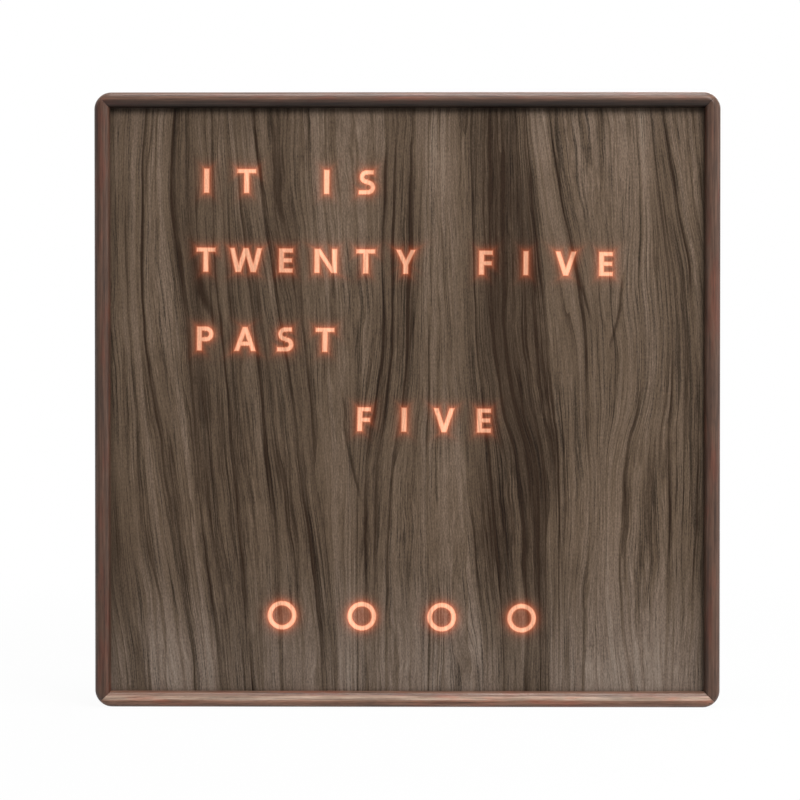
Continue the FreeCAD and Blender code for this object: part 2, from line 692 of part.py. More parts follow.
def light_baffle():
    """A routed plate: pilot holes from behind, lightening windows, and the letter cells."""
    body = face_body("light_baffle", "places.box_width", "places.box_height",
                     "places.baffle_y", "sizes.baffle_depth")
    pilots = new_sketch(body, "pilot_sketch", "XZ_Plane", "sizes.baffle_screw_length - places.space_y")
    for x, z in BAFFLE_SPOTS:
        circle(pilots, "sizes.small_screw_radius", x, z)
    feature(body, "PartDesign::Pocket", "pilots", pilots,
            "sizes.baffle_screw_length - sizes.led_board_thickness")
    windows = new_sketch(body, "window_sketch", "XZ_Plane", "-places.baffle_y")
    side_wide = "(places.box_width / 2 - sizes.baffle_rim - places.grid_width / 2 - sizes.cell_wall)"
    side_x = f"(places.grid_width / 2 + sizes.cell_wall + {side_wide} / 2)"
    side_high = "(places.grid_height / 2 - 1.5 * sizes.baffle_rib)"
    side_z = f"(sizes.baffle_rib / 2 + {side_high} / 2)"
    end_high = "(places.box_height / 2 - sizes.baffle_rim - places.grid_height / 2 - sizes.cell_wall)"
    end_z = f"(places.grid_height / 2 + sizes.cell_wall + {end_high} / 2)"
    end_wide = "(places.grid_width / 2 - sizes.baffle_rib / 2)"
    end_x = f"(sizes.baffle_rib / 2 + {end_wide} / 2)"
    for x, z in four_ways(side_x, side_z):
        rectangle(windows, side_wide, side_high, x, z)
    for x, z in four_ways(end_x, end_z):
        rectangle(windows, end_wide, end_high, x, z)
    feature(body, "PartDesign::Pocket", "windows", windows, "sizes.baffle_depth")
    cells = new_sketch(body, "cell_row", "XZ_Plane", "-places.baffle_y")
    for column in range(int(sizes.grid_columns)):
        rectangle(cells, "places.column_pitch - sizes.cell_wall",
                  "places.row_pitch - sizes.cell_wall",
                  f"({column} - (sizes.grid_columns - 1) / 2) * places.column_pitch",
                  "places.middle_z + (sizes.grid_rows - 1) / 2 * places.row_pitch")
    row = feature(body, "PartDesign::Pocket", "top_cells", cells, "sizes.baffle_depth")
    pattern_down(body, "cells", [row], "sizes.grid_rows")
    keep(body, "light_baffle")


def led_board():
    """The board that carries one lamp behind each cell, screwed to the baffle."""
    plate = face_body("led_board_body", "places.box_width", "places.box_height",
                      "places.led_board_y", "sizes.led_board_thickness")
    holes = [rod(f"led_board_hole_{number}", "sizes.small_screw_radius + sizes.screw_play",
                 "sizes.led_board_thickness", x, "places.led_board_y", z)
             for number, (x, z) in enumerate(BAFFLE_SPOTS, start=1)]
    keep(cut("led_board", plate, holes), "led_board")
    screws("led_board_screws", BAFFLE_SPOTS, "sizes.small_screw_radius",
           "sizes.baffle_screw_length", "sizes.small_head_radius", "sizes.small_head_height",
           "places.space_y", True)


def lamp_body(name, lens, columns, row, rows):
    """One row of lamp housings, or of their lenses, repeated down the grid."""
    body = doc.addObject("PartDesign::Body", name)
    height = "sizes.led_height - sizes.led_lens_depth" if lens else "sizes.led_height"
    sketch = new_sketch(body, f"{name}_sketch", "XZ_Plane", f"{height} - places.led_board_y")
    z = f"places.middle_z + ((sizes.grid_rows - 1) / 2 - {row}) * places.row_pitch"
    for column in columns:
        x = f"({column} - (sizes.grid_columns - 1) / 2) * places.column_pitch"
        circle(sketch, "sizes.led_lens_radius", x, z)
        if not lens:
            rectangle(sketch, "sizes.led_size", "sizes.led_size", x, z)
    pad = feature(body, "PartDesign::Pad", f"{name}_pad", sketch, height)
    pattern_down(body, f"{name}_rows", [pad], rows)
    return body


def lamps():
    """One lamp for each letter, and one for each of the four minute rings."""
    every = range(int(sizes.grid_columns))
    last = "(sizes.grid_rows - 1)"
    for label, lens in (("led_housings", False), ("led_lenses", True)):
        words = lamp_body(f"{label}_words", lens, every, "0", last)
        minutes = lamp_body(f"{label}_minutes", lens, RING_COLUMNS, last, "1")
        keep(group(label, [words, minutes]), label)


# Cleats and the back cover

COVER_SPOTS = {
    "cleat_top": [(f"{side} * places.cover_screw_x", "places.middle_z + places.cleat_z")
                  for side in (-1, 0, 1)],
    "cleat_bottom": [(f"{side} * places.cover_screw_x", "places.middle_z - places.cleat_z")
                     for side in (-1, 0, 1)],
    "cleat_left": [("-places.cleat_x", "places.middle_z")],
    "cleat_right": [("places.cleat_x", "places.middle_z")],
}


def cleats():
    """Four strips, glued inside the rails, that hold the light box and take the cover's screws."""
    upright = "places.opening_height - 2 * sizes.cleat_width"
    shapes = {
        "cleat_top": ("places.opening_width", "sizes.cleat_width", "0", "places.cleat_z"),
        "cleat_bottom": ("places.opening_width", "sizes.cleat_width", "0", "-places.cleat_z"),
        "cleat_left": ("sizes.cleat_width", upright, "-places.cleat_x", "0"),
        "cleat_right": ("sizes.cleat_width", upright, "places.cleat_x", "0"),
    }
    for label, (wide, high, x, rise) in shapes.items():
        strip = block(f"{label}_strip", wide, "places.component_space", high, x, "places.space_y",
                      f"places.middle_z + {rise}")
        pilots = [rod(f"{label}_pilot_{number}", "sizes.cover_screw_radius",
                      "sizes.cover_screw_length - sizes.cover_thickness", spot_x,
                      "places.cover_rear_y - sizes.cover_screw_length", spot_z)
                  for number, (spot_x, spot_z) in enumerate(COVER_SPOTS[label], start=1)]
        keep(cut(label, strip, pilots), label)


BOARD_SPOTS = [(f"{side} * places.standoff_x", f"places.board_z + {level} * places.standoff_z")
               for side in (-1, 1) for level in (-1, 1)]
BUTTONS = {"set": -1, "plus": 0, "minus": 1}


def button_x(step):
    """Where a button sits, counted in pitches from the middle one."""
    return f"(sizes.button_side + {step} * sizes.button_pitch)"


def back_cover():
    """The rear plate, with holes for its screws, the buttons, the socket and the standoffs."""
    plate = face_body("back_cover_body", "places.opening_width - 2 * sizes.cover_play",
                      "places.opening_height - 2 * sizes.cover_play",
                      "places.cover_y", "sizes.cover_thickness")
    wanted = [("sizes.cover_screw_radius + sizes.screw_play", x, z)
              for spots in COVER_SPOTS.values() for x, z in spots]
    wanted += [("sizes.small_screw_radius + sizes.screw_play", x, z) for x, z in BOARD_SPOTS]
    wanted += [("sizes.cap_radius + sizes.cap_play", button_x(step), "places.button_z")
               for step in BUTTONS.values()]
    wanted += [("sizes.jack_radius + sizes.jack_play", "sizes.jack_side", "places.button_z")]
    holes = [rod(f"cover_hole_{number}", radius, "sizes.cover_thickness", x, "places.cover_y", z)
             for number, (radius, x, z) in enumerate(wanted, start=1)]
    keep(cut("back_cover", plate, holes), "back_cover")
    screws("back_cover_screws", [spot for spots in COVER_SPOTS.values() for spot in spots],
           "sizes.cover_screw_radius", "sizes.cover_screw_length", "sizes.cover_head_radius",
           "sizes.cover_head_height", "places.cover_rear_y", True)


# Control board and what it carries

def control_board():
    """The board on four standoffs in front of the cover, with a screw at both ends of each."""
    plate = block("control_board_plate", "sizes.board_width", "sizes.board_thickness",
                  "sizes.board_height", "0", "places.board_y", "places.board_z")
    holes = [rod(f"board_hole_{number}", "sizes.small_screw_radius + sizes.screw_play",
                 "sizes.board_thickness", x, "places.board_y", z)
             for number, (x, z) in enumerate(BOARD_SPOTS, start=1)]
    keep(cut("control_board", plate, holes), "control_board")
    posts = []
    for number, (x, z) in enumerate(BOARD_SPOTS, start=1):
        post = rod(f"standoff_post_{number}", "sizes.standoff_radius", "places.standoff_height",
                   x, "places.board_rear_y", z)
        thread = rod(f"standoff_thread_{number}", "sizes.small_screw_radius",
                     "places.standoff_height", x, "places.board_rear_y", z)
        posts.append(cut(f"standoff_{number}", post, [thread]))
    keep(group("standoffs", posts), "standoffs")
    screws("control_board_screws", BOARD_SPOTS, "sizes.small_screw_radius",
           "(sizes.board_thickness + sizes.thread_bite)", "sizes.small_head_radius",
           "sizes.small_head_height", "places.board_y", False)
    screws("standoff_screws", BOARD_SPOTS, "sizes.small_screw_radius",
           "(sizes.cover_thickness + sizes.thread_bite)", "sizes.small_head_radius",
           "sizes.small_head_height", "places.cover_rear_y", True)


def board_parts():
    """The chips and the backup cell, on the side of the board that faces the lamps."""
    chip_high = "places.board_z + sizes.chip_spread"
    chip_low = "places.board_z - sizes.chip_spread"
    keep(block("processor_chip", "sizes.processor_size", "sizes.processor_height",
               "sizes.processor_size", "places.chip_x",
               "places.board_y - sizes.processor_height", chip_high), "processor_chip")
    keep(block("clock_chip", "sizes.timer_length", "sizes.timer_height", "sizes.timer_width",
               "places.chip_x", "places.board_y - sizes.timer_height", chip_low), "clock_chip")
    side = "places.holder_x"
    cup = rod("cell_cup", "sizes.holder_radius", "sizes.holder_height", side,
              "places.board_y - sizes.holder_height", "places.board_z")
    room = rod("cell_room", "sizes.cell_radius + sizes.cell_play",
               "sizes.holder_height - sizes.holder_floor", side,
               "places.board_y - sizes.holder_height", "places.board_z")
    slot = block("cell_slot", "2 * (sizes.holder_radius + sizes.cut_margin)",
                 "sizes.holder_height - sizes.holder_floor", "sizes.holder_slot", side,
                 "places.board_y - sizes.holder_height", "places.board_z")
    keep(cut("cell_holder", cup, [room, slot]), "cell_holder")
    keep(rod("coin_cell", "sizes.cell_radius", "sizes.cell_thickness", side,
             "places.board_y - sizes.holder_floor - sizes.cell_thickness", "places.board_z"),
         "coin_cell")


def power_jack():
    """The barrel socket, whose mouth comes through the cover, and its centre pin."""
    base = block("jack_block", "sizes.jack_base", "places.standoff_height - sizes.stop_gap",
                 "sizes.jack_base", "sizes.jack_side", "places.board_rear_y", "places.button_z")
    barrel = rod("jack_barrel", "sizes.jack_radius", "places.jack_rear_y - places.board_rear_y",
                 "sizes.jack_side", "places.board_rear_y", "places.button_z")
    floor_y = "places.board_rear_y + sizes.jack_floor"
    bore = rod("jack_bore", "sizes.jack_bore_radius", f"places.jack_rear_y - ({floor_y})",
               "sizes.jack_side", floor_y, "places.button_z")
    keep(cut("power_jack", fuse("jack_shell", base, barrel), [bore]), "power_jack")
    keep(rod("jack_pin", "sizes.jack_pin_radius",
             f"places.jack_rear_y - sizes.pin_drop - ({floor_y})",
             "sizes.jack_side", floor_y, "places.button_z"), "jack_pin")


def ribbon():
    """The flat cable between the two boards, and the connectors at its ends."""
    led_side_y = "places.space_y + sizes.connector_height"
    keep(block("led_connector", "sizes.connector_width", "sizes.connector_height",
               "sizes.connector_length", "sizes.connector_side", "places.space_y",
               "places.connector_z"), "led_connector")
    keep(block("board_connector", "sizes.connector_width", "sizes.connector_height",
               "sizes.connector_length", "places.board_connector_x + sizes.connector_width / 2",
               "places.board_rear_y", "places.connector_z"), "board_connector")
    body = doc.addObject("PartDesign::Body", "ribbon_cable")
    shape = new_sketch(body, "ribbon_sketch", "XY_Plane",
                       "places.connector_z - sizes.ribbon_width / 2")
    start = "(places.board_connector_x + sizes.connector_width)"
    half = "sizes.ribbon_thickness / 2"
    outline(shape, [
        (start, f"places.ribbon_y - {half}"),
        (f"sizes.connector_side - {half}", f"places.ribbon_y - {half}"),
        (f"sizes.connector_side - {half}", led_side_y),
        (f"sizes.connector_side + {half}", led_side_y),
        (f"sizes.connector_side + {half}", f"places.ribbon_y + {half}"),
        (start, f"places.ribbon_y + {half}"),
    ])
    flat = feature(body, "PartDesign::Pad", "ribbon_pad", shape, "sizes.ribbon_width")
    flat.Reversed = False
    low_y = value(f"places.ribbon_y - {half}")
    high_y = value(f"places.ribbon_y + {half}")
    low_x = value(f"sizes.connector_side - {half}")
    high_x = value(f"sizes.connector_side + {half}")
    inside = round_edges(body, "ribbon_inner_bend", flat,
                         lambda spot, along: near(spot.x, low_x) and near(spot.y, low_y),
                         "sizes.ribbon_bend")
    round_edges(body, "ribbon_outer_bend", inside,
                lambda spot, along: near(spot.x, high_x) and near(spot.y, high_y),
                "sizes.ribbon_bend + sizes.ribbon_thickness")
    keep(body, "ribbon_cable")


# Push buttons

def buttons():
    """Three switches on the board, each with a plunger and a cap that slide together."""
    housings = []
    for name, step in BUTTONS.items():
        x = button_x(step)
        housing = block(f"{name}_housing", "sizes.switch_size", "sizes.switch_height",
                        "sizes.switch_size", x, "places.board_rear_y", "places.button_z")
        depth = "(sizes.plunger_hold + sizes.button_travel + sizes.stop_gap)"
        well = rod(f"{name}_well", "sizes.plunger_radius + sizes.plunger_play", depth, x,
                   f"places.switch_top_y - {depth}", "places.button_z")
        housings.append(cut(f"{name}_switch", housing, [well]))
        keep(rod(f"{name}_plunger_rod", "sizes.plunger_radius",
                 "places.plunger_rear_y - places.plunger_y", x, "places.plunger_y",
                 "places.button_z"), f"{name}_plunger")
        button_cap(f"{name}_button", x)
    keep(group("switch_bodies", housings), "switch_bodies")


def button_cap(label, x):
    """A turned cap: a flange that the cover holds in, a domed top and a socket."""
    body = doc.addObject("PartDesign::Body", f"{label}_body")
    profile = new_sketch(body, f"{label}_profile", "XY_Plane")
    outline(profile, [
        ("sizes.plunger_radius", "places.flange_y"),
        ("sizes.cap_radius + sizes.flange_overlap", "places.flange_y"),
        ("sizes.cap_radius + sizes.flange_overlap", "places.flange_rear_y"),
        ("sizes.cap_radius", "places.flange_rear_y"),
        ("sizes.cap_radius", "places.cap_rear_y"),
        ("0", "places.cap_rear_y"),
        ("0", "places.plunger_rear_y"),
        ("sizes.plunger_radius", "places.plunger_rear_y"),
    ])
    turned = body.newObject("PartDesign::Revolution", f"{label}_turned")
    turned.Profile = profile
    turned.ReferenceAxis = (profile, ["V_Axis"])
    round_edges(body, f"{label}_dome", turned,
                lambda spot, along: near(spot.y, value("places.cap_rear_y")), "sizes.cap_round")
    put(body, x, "0", "places.button_z")
    keep(body, label)


# Wall hangers

def hanger(side, sign):
    """A block behind the cover, with a pocket for a screw's head under a keyhole plate."""
    x = f"{sign} * places.hanger_x"
    pads = block(f"hanger_block_{side}_blank", "sizes.hanger_block_width",
                 "places.hanger_plate_y - places.cover_rear_y", "sizes.hanger_block_height",
                 x, "places.cover_rear_y", "places.hanger_z")
    pocket = block(f"hanger_pocket_{side}", "sizes.hanger_pocket_width",
                   "sizes.hanger_pocket_depth", "sizes.hanger_pocket_height", x,
                   "places.hanger_plate_y - sizes.hanger_pocket_depth", "places.hanger_z")
    rises = ("places.hanger_screw_rise", "-places.hanger_screw_rise")
    spots = [(x, f"places.hanger_z + ({rise})") for rise in rises]
    pilots = [rod(f"hanger_pilot_{side}_{number}", "sizes.small_screw_radius",
                  "sizes.hanger_screw_length - sizes.hanger_plate_thickness", x,
                  "places.hanger_plate_y + sizes.hanger_plate_thickness"
                  " - sizes.hanger_screw_length", z)
              for number, (x, z) in enumerate(spots, start=1)]
    keep(cut(f"hanger_block_{side}", pads, [pocket] + pilots), f"hanger_block_{side}")
    keyhole_plate(side, x, spots)
    return spots


def keyhole_plate(side, x, spots):
    """A steel plate with a keyhole: a round entry below a narrow slot."""
    label = f"hanger_plate_{side}"
    body = doc.addObject("PartDesign::Body", f"{label}_body")
    sketch = new_sketch(body, f"{label}_sketch", "XZ_Plane", "-places.hanger_plate_y")
    rectangle(sketch, "sizes.hanger_plate_width", "sizes.hanger_plate_height", x, "places.hanger_z")
    pad = feature(body, "PartDesign::Pad", f"{label}_pad", sketch, "sizes.hanger_plate_thickness")
    round_edges(body, f"{label}_corners", pad, lambda spot, along: near(abs(along.y), 1),
                "sizes.hanger_plate_round")
    thick = "sizes.hanger_plate_thickness"
    tools = [
        rod(f"{label}_entry", "sizes.keyhole_entry_radius", thick, x, "places.hanger_plate_y",
            "places.keyhole_z"),
        block(f"{label}_slot", "2 * sizes.keyhole_slot_radius", thick, "sizes.keyhole_slot_rise",
              x, "places.hanger_plate_y", "places.keyhole_z + sizes.keyhole_slot_rise / 2"),
        rod(f"{label}_slot_end", "sizes.keyhole_slot_radius", thick, x, "places.hanger_plate_y",
            "places.keyhole_z + sizes.keyhole_slot_rise"),
    ]
    for number, (spot_x, spot_z) in enumerate(spots, start=1):
        tools.append(rod(f"{label}_hole_{number}", "sizes.small_screw_radius + sizes.screw_play",
                         thick, spot_x, "places.hanger_plate_y", spot_z))
    keep(cut(label, body, tools), label)


def hangers():
    """Both hangers and the screws of their plates."""
    spots = []
    for side, sign in (("left", -1), ("right", 1)):
        spots += hanger(side, sign)
    screws("hanger_plate_screws", spots, "sizes.small_screw_radius", "sizes.hanger_screw_length",
           "sizes.small_head_radius", "sizes.small_head_height",
           "places.hanger_plate_y + sizes.hanger_plate_thickness", True)


def check_document():
    """Stop if any object failed, or if a sub-part has no sound shape."""
    doc.recompute()
    for item in doc.Objects:
        if "Invalid" in item.State or "Error" in item.State:
            raise RuntimeError(f"{item.Name} failed: {item.State}")
    for piece in nodes:
        if piece.Shape.isNull() or not piece.Shape.isValid():
            raise RuntimeError(f"{piece.Label} has no sound shape")
        print(f"{piece.Label}: {len(piece.Shape.Solids)} solids, {piece.Shape.Volume:.1f} mm3")


def export_nodes():
    """Write one file for each sub-part."""
    os.makedirs("parts", exist_ok=True)
    for piece in nodes:
        piece.Shape.exportStep(f"parts/{piece.Label}.step")


frame_rails()
sheet("face_veneer", "places.veneer_y", "sizes.veneer_thickness")
letter_mask()
sheet("diffuser_sheet", "places.diffuser_y", "sizes.diffuser_thickness")
light_baffle()
led_board()
lamps()
cleats()
back_cover()
control_board()
board_parts()
power_jack()
ribbon()
buttons()
hangers()
check_document()
export_nodes()
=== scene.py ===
# %% [markdown]
# # A word clock in walnut
# A shallow walnut box hangs on the wall or stands on a shelf. Its face is one unbroken sheet of
# veneer, and words shine through it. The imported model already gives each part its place, in
# metres. This lesson gives the parts the look of the real thing: the grain of the veneer, the
# glow of the letters, the rounded rails and the hardware at the back.

# %% Load the frame
import math
import bpy
import bmesh
from mathutils import Matrix, Vector


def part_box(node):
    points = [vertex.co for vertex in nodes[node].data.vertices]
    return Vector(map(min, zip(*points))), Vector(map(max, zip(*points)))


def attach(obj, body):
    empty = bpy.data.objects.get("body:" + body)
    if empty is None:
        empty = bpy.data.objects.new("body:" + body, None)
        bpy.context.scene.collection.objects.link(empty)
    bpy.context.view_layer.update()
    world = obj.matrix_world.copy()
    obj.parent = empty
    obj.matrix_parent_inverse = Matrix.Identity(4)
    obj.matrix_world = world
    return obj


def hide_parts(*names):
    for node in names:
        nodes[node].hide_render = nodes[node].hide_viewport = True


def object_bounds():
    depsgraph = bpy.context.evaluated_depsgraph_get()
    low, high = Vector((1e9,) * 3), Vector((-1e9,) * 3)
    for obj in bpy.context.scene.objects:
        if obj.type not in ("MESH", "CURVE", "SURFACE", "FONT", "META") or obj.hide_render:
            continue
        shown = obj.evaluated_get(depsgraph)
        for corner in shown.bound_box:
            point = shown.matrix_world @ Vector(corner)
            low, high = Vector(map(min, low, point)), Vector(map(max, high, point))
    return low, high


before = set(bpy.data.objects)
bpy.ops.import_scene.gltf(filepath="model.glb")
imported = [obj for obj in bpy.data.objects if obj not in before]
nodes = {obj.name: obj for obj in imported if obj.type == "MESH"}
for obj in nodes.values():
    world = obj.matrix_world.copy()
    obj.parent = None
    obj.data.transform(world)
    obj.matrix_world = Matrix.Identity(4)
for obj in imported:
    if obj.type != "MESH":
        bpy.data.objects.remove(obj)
cad_box = [list(corner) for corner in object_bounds()]
MM = 0.001
print("parts in the frame:", len(nodes))

# %% [markdown]
# Two corners of the whole clock say where its middle is. The rails stand for the outline, and
# the veneer for the face, so the camera and the patterns are placed by them and not by numbers
# typed twice.

# %% Measure the clock
veneer_low, veneer_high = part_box("face_veneer")
case_low, case_high = Vector(cad_box[0]), Vector(cad_box[1])
middle = (case_low + case_high) / 2
front = case_low.y
print("clock from", [round(v, 4) for v in case_low], "to", [round(v, 4) for v in case_high])

# %% [markdown]
# The photograph was taken from far away and almost straight in front, because the frame is
# nearly a perfect rectangle in it. A long lens from one and a half metres gives that. The
# camera stands a little to the right of the middle and a little above it, which makes the right
# edge and the top edge of the clock a trace longer, as they are in the photograph.

# %% Place the camera
CAMERA_DISTANCE = 1.5
CAMERA_RIGHT = math.radians(0.715)
CAMERA_ABOVE = math.radians(0.961)
SENSOR = 36.0
PHOTO_PIXELS = 800
CLOCK_PIXELS = 625.25
SHIFT_PIXELS = (-7.0, 0.14)

toward = Vector((math.sin(CAMERA_RIGHT), -math.cos(CAMERA_RIGHT), math.tan(CAMERA_ABOVE)))
target = Vector((middle.x, front, middle.z))
lens = bpy.data.cameras.new("camera")
camera = bpy.data.objects.new("camera", lens)
bpy.context.scene.collection.objects.link(camera)
camera.location = target + toward.normalized() * CAMERA_DISTANCE
camera.rotation_euler = (target - camera.location).to_track_quat("-Z", "Y").to_euler()
seen_width = (case_high.x - case_low.x) * PHOTO_PIXELS / CLOCK_PIXELS
lens.sensor_width = SENSOR
lens.lens = SENSOR * (CAMERA_DISTANCE + 3.5 * MM) / seen_width
lens.shift_x = SHIFT_PIXELS[0] / PHOTO_PIXELS
lens.shift_y = SHIFT_PIXELS[1] / PHOTO_PIXELS
bpy.context.scene.camera = camera
print("lens", round(lens.lens, 1), "mm")

# %% [markdown]
# Soft studio light: a large lamp high in front throws the shadow under the top rail, a weaker
# one from the right draws the edges of the side rails, and one at the back is for whoever walks
# round the clock. The world adds even light. The background is white because the world is white to the camera, to reflections and
# through glass, and only there, so it adds no light to the clock.

# %% Light the clock
def soft_lamp(name, place, width, power, aim=None):
    """A square area lamp at a place, aimed at the middle of the clock."""
    data = bpy.data.lights.new(name, "AREA")
    data.shape = "SQUARE"
    data.size = width
    data.energy = power
    lamp = bpy.data.objects.new(name, data)
    lamp.location = middle + Vector(place)
    look = (aim or middle) - lamp.location
    lamp.rotation_euler = look.to_track_quat("-Z", "Y").to_euler()
    bpy.context.scene.collection.objects.link(lamp)
    return lamp


soft_lamp("key_lamp", (0.55, -1.2, 1.05), 0.5, 17.8)
soft_lamp("top_lamp", (0.1, -0.2, 1.3), 0.6, 20.0)
soft_lamp("side_lamp", (1.5, -0.6, 0.2), 0.7, 3.6)
soft_lamp("back_lamp", (0.6, 1.6, 0.9), 1.0, 20.0)

WORLD_LIGHT = 0.06
world = bpy.data.worlds.new("studio")
bpy.context.scene.world = world
world.use_nodes = True
air = world.node_tree
path = air.nodes.new("ShaderNodeLightPath")
seen = air.nodes.new("ShaderNodeMath")
seen.operation = "MAXIMUM"
air.links.new(path.outputs["Is Camera Ray"], seen.inputs[0])
air.links.new(path.outputs["Is Glossy Ray"], seen.inputs[1])
seen_all = air.nodes.new("ShaderNodeMath")
seen_all.operation = "MAXIMUM"
air.links.new(seen.outputs[0], seen_all.inputs[0])
air.links.new(path.outputs["Is Transmission Ray"], seen_all.inputs[1])
level = air.nodes.new("ShaderNodeMapRange")
air.links.new(seen_all.outputs[0], level.inputs["Value"])
level.inputs["To Min"].default_value = WORLD_LIGHT
level.inputs["To Max"].default_value = 1.0
air.nodes["Background"].inputs["Color"].default_value = (1, 1, 1, 1)
air.links.new(level.outputs["Result"], air.nodes["Background"].inputs["Strength"])
bpy.context.scene.view_settings.view_transform = "Standard"

# %% [markdown]
# Every finish is a small tree of shader nodes. Written node by node that is long and hard to
# read, so a class wraps one output socket. Plus, minus and times on it add Math nodes, and the
# finishes below read like formulas.

# %% A value over a surface
def fill_ramp(ramp, stops):
    """Set the stops of a colour ramp: each is a position and a grey or a colour."""
    while len(ramp.elements) > 1:
        ramp.elements.remove(ramp.elements[-1])
    for index, (place, colour) in enumerate(stops):
        stop = ramp.elements[0] if index == 0 else ramp.elements.new(place)
        stop.position = place
        shade = (colour,) * 3 if isinstance(colour, (int, float)) else colour
        stop.color = (*shade, 1.0)


def fill_curve(mapping, points):
    """Set the points of a float curve, whose ends are kept."""
    curve = mapping.curves[0]
    curve.points[0].location = points[0]
    curve.points[1].location = points[-1]
    for point in points[1:-1]:
        curve.points.new(*point)
    mapping.update()


class Field:
    """A value over a surface: one output of a finish's node tree."""

    def __init__(self, tree, socket):
        self.tree = tree
        self.socket = socket

    def made(self, kind, settings=None, inputs=None, output=0):
        """Add a node, set its settings, then its inputs, and wrap one of its outputs."""
        node = self.tree.nodes.new(kind)
        for name, value in (settings or {}).items():
            if name == "stops":
                fill_ramp(node.color_ramp, value)
            elif name == "points":
                fill_curve(node.mapping, value)
            else:
                setattr(node, name, value)
        for name, value in (inputs or {}).items():
            if isinstance(value, Field):
                self.tree.links.new(value.socket, node.inputs[name])
            else:
                node.inputs[name].default_value = value
        return Field(self.tree, node.outputs[output])

    def math(self, operation, *values):
        return self.made("ShaderNodeMath", {"operation": operation}, dict(enumerate(values)))

    def __add__(self, other):
        return self.math("ADD", self, other)

    __radd__ = __add__

    def __sub__(self, other):
        return self.math("SUBTRACT", self, other)

    def __rsub__(self, other):
        return self.math("SUBTRACT", other, self)

    def __mul__(self, other):
        return self.math("MULTIPLY", self, other)

    __rmul__ = __mul__

    def __truediv__(self, other):
        return self.math("DIVIDE", self, other)

    def __pow__(self, other):
        return self.math("POWER", self, other)

    def __abs__(self):
        return self.math("ABSOLUTE", self)

    def most(self, other):
        return self.math("MAXIMUM", self, other)

    def least(self, other):
        return self.math("MINIMUM", self, other)

    def fraction(self):
        return self.math("FRACT", self)

    def exp(self):
        return self.math("EXPONENT", self)

    def step(self, low, high, start=0.0, end=1.0):
        """A smooth step from start at low to end at high."""
        settings = {"interpolation_type": "SMOOTHSTEP"}
        inputs = {"Value": self, "From Min": low, "From Max": high}
        inputs.update({"To Min": start, "To Max": end})
        return self.made("ShaderNodeMapRange", settings, inputs)

    def curve(self, points):
        return self.made("ShaderNodeFloatCurve", {"points": points}, {"Value": self})

    def ramp(self, stops):
        return self.made("ShaderNodeValToRGB", {"stops": stops}, {"Fac": self})

    def noise(self, scale=1.0, detail=2.0, roughness=0.5):
        """Noise along one line, for this value."""
        settings = {"noise_dimensions": "1D"}
        inputs = {"W": self, "Scale": scale, "Detail": detail, "Roughness": roughness}
        return self.made("ShaderNodeTexNoise", settings, inputs)

    def with_colour(self, amount, colour, blend="MIX"):
        """Mix a colour into this one."""
        settings = {"data_type": "RGBA", "blend_type": blend}
        return self.made("ShaderNodeMix", settings, {0: amount, 6: self, 7: colour}, 2)


def joined(x, y, z):
    """Three values as one vector."""
    base = next(v for v in (x, y, z) if isinstance(v, Field))
    return base.made("ShaderNodeCombineXYZ", None, {0: x, 1: y, 2: z})


def cloud(vector, scale=1.0, detail=2.0, roughness=0.5):
    """Noise over a vector."""
    inputs = {"Vector": vector, "Scale": scale, "Detail": detail, "Roughness": roughness}
    return vector.made("ShaderNodeTexNoise", None, inputs)


print("wrapped sockets ready")

# %% [markdown]
# A finish starts as a Principled shader whose plain numbers are set on its sockets. Positions
# come in millimetres, because the grain and the letters are easier to think of in them.

# %% Start a finish
class Finish:
    """A material, its shader and the place on the object in millimetres."""

    def __init__(self, name, roughness=0.5, metallic=0.0, specular=0.5, colour=(0.8, 0.8, 0.8)):
        self.material = bpy.data.materials.new(name)
        self.material.use_nodes = True
        self.tree = self.material.node_tree
        self.shader = self.tree.nodes["Principled BSDF"]
        self.set("Base Color", (*colour, 1.0))
        self.set("Roughness", roughness)
        self.set("Metallic", metallic)
        self.set("Specular IOR Level", specular)
        place = self.tree.nodes.new("ShaderNodeTexCoord")
        self.place = Field(self.tree, place.outputs["Object"])
        scaled = {"operation": "SCALE"}
        self.at = self.place.made("ShaderNodeVectorMath", scaled, {0: self.place, "Scale": 1000.0})
        split = {"Vector": self.at}
        self.x = self.at.made("ShaderNodeSeparateXYZ", None, split, 0)
        self.y = self.at.made("ShaderNodeSeparateXYZ", None, split, 1)
        self.z = self.at.made("ShaderNodeSeparateXYZ", None, split, 2)

    def set(self, socket, value):
        self.shader.inputs[socket].default_value = value

    def feed(self, socket, field):
        self.tree.links.new(field.socket, self.shader.inputs[socket])

    def bump(self, height, depth_mm, strength=1.0):
        """Bump from a height between 0 and 1, whose full depth is given in millimetres."""
        inputs = {"Strength": strength, "Distance": depth_mm * MM, "Height": height}
        self.feed("Normal", height.made("ShaderNodeBump", None, inputs))


def dress(names, finish):
    """Give CAD parts a finish, in the material slots that they already have."""
    for name in names:
        for slot in nodes[name].material_slots:
            slot.material = finish.material
    print(finish.material.name, "on", len(names), "parts")


# %% [markdown]
# The floor is pale and plain. The camera sees it nearly as white as the background, and a part
# of its colour is ordinary diffuse white, so it keeps a soft shadow of the clock.

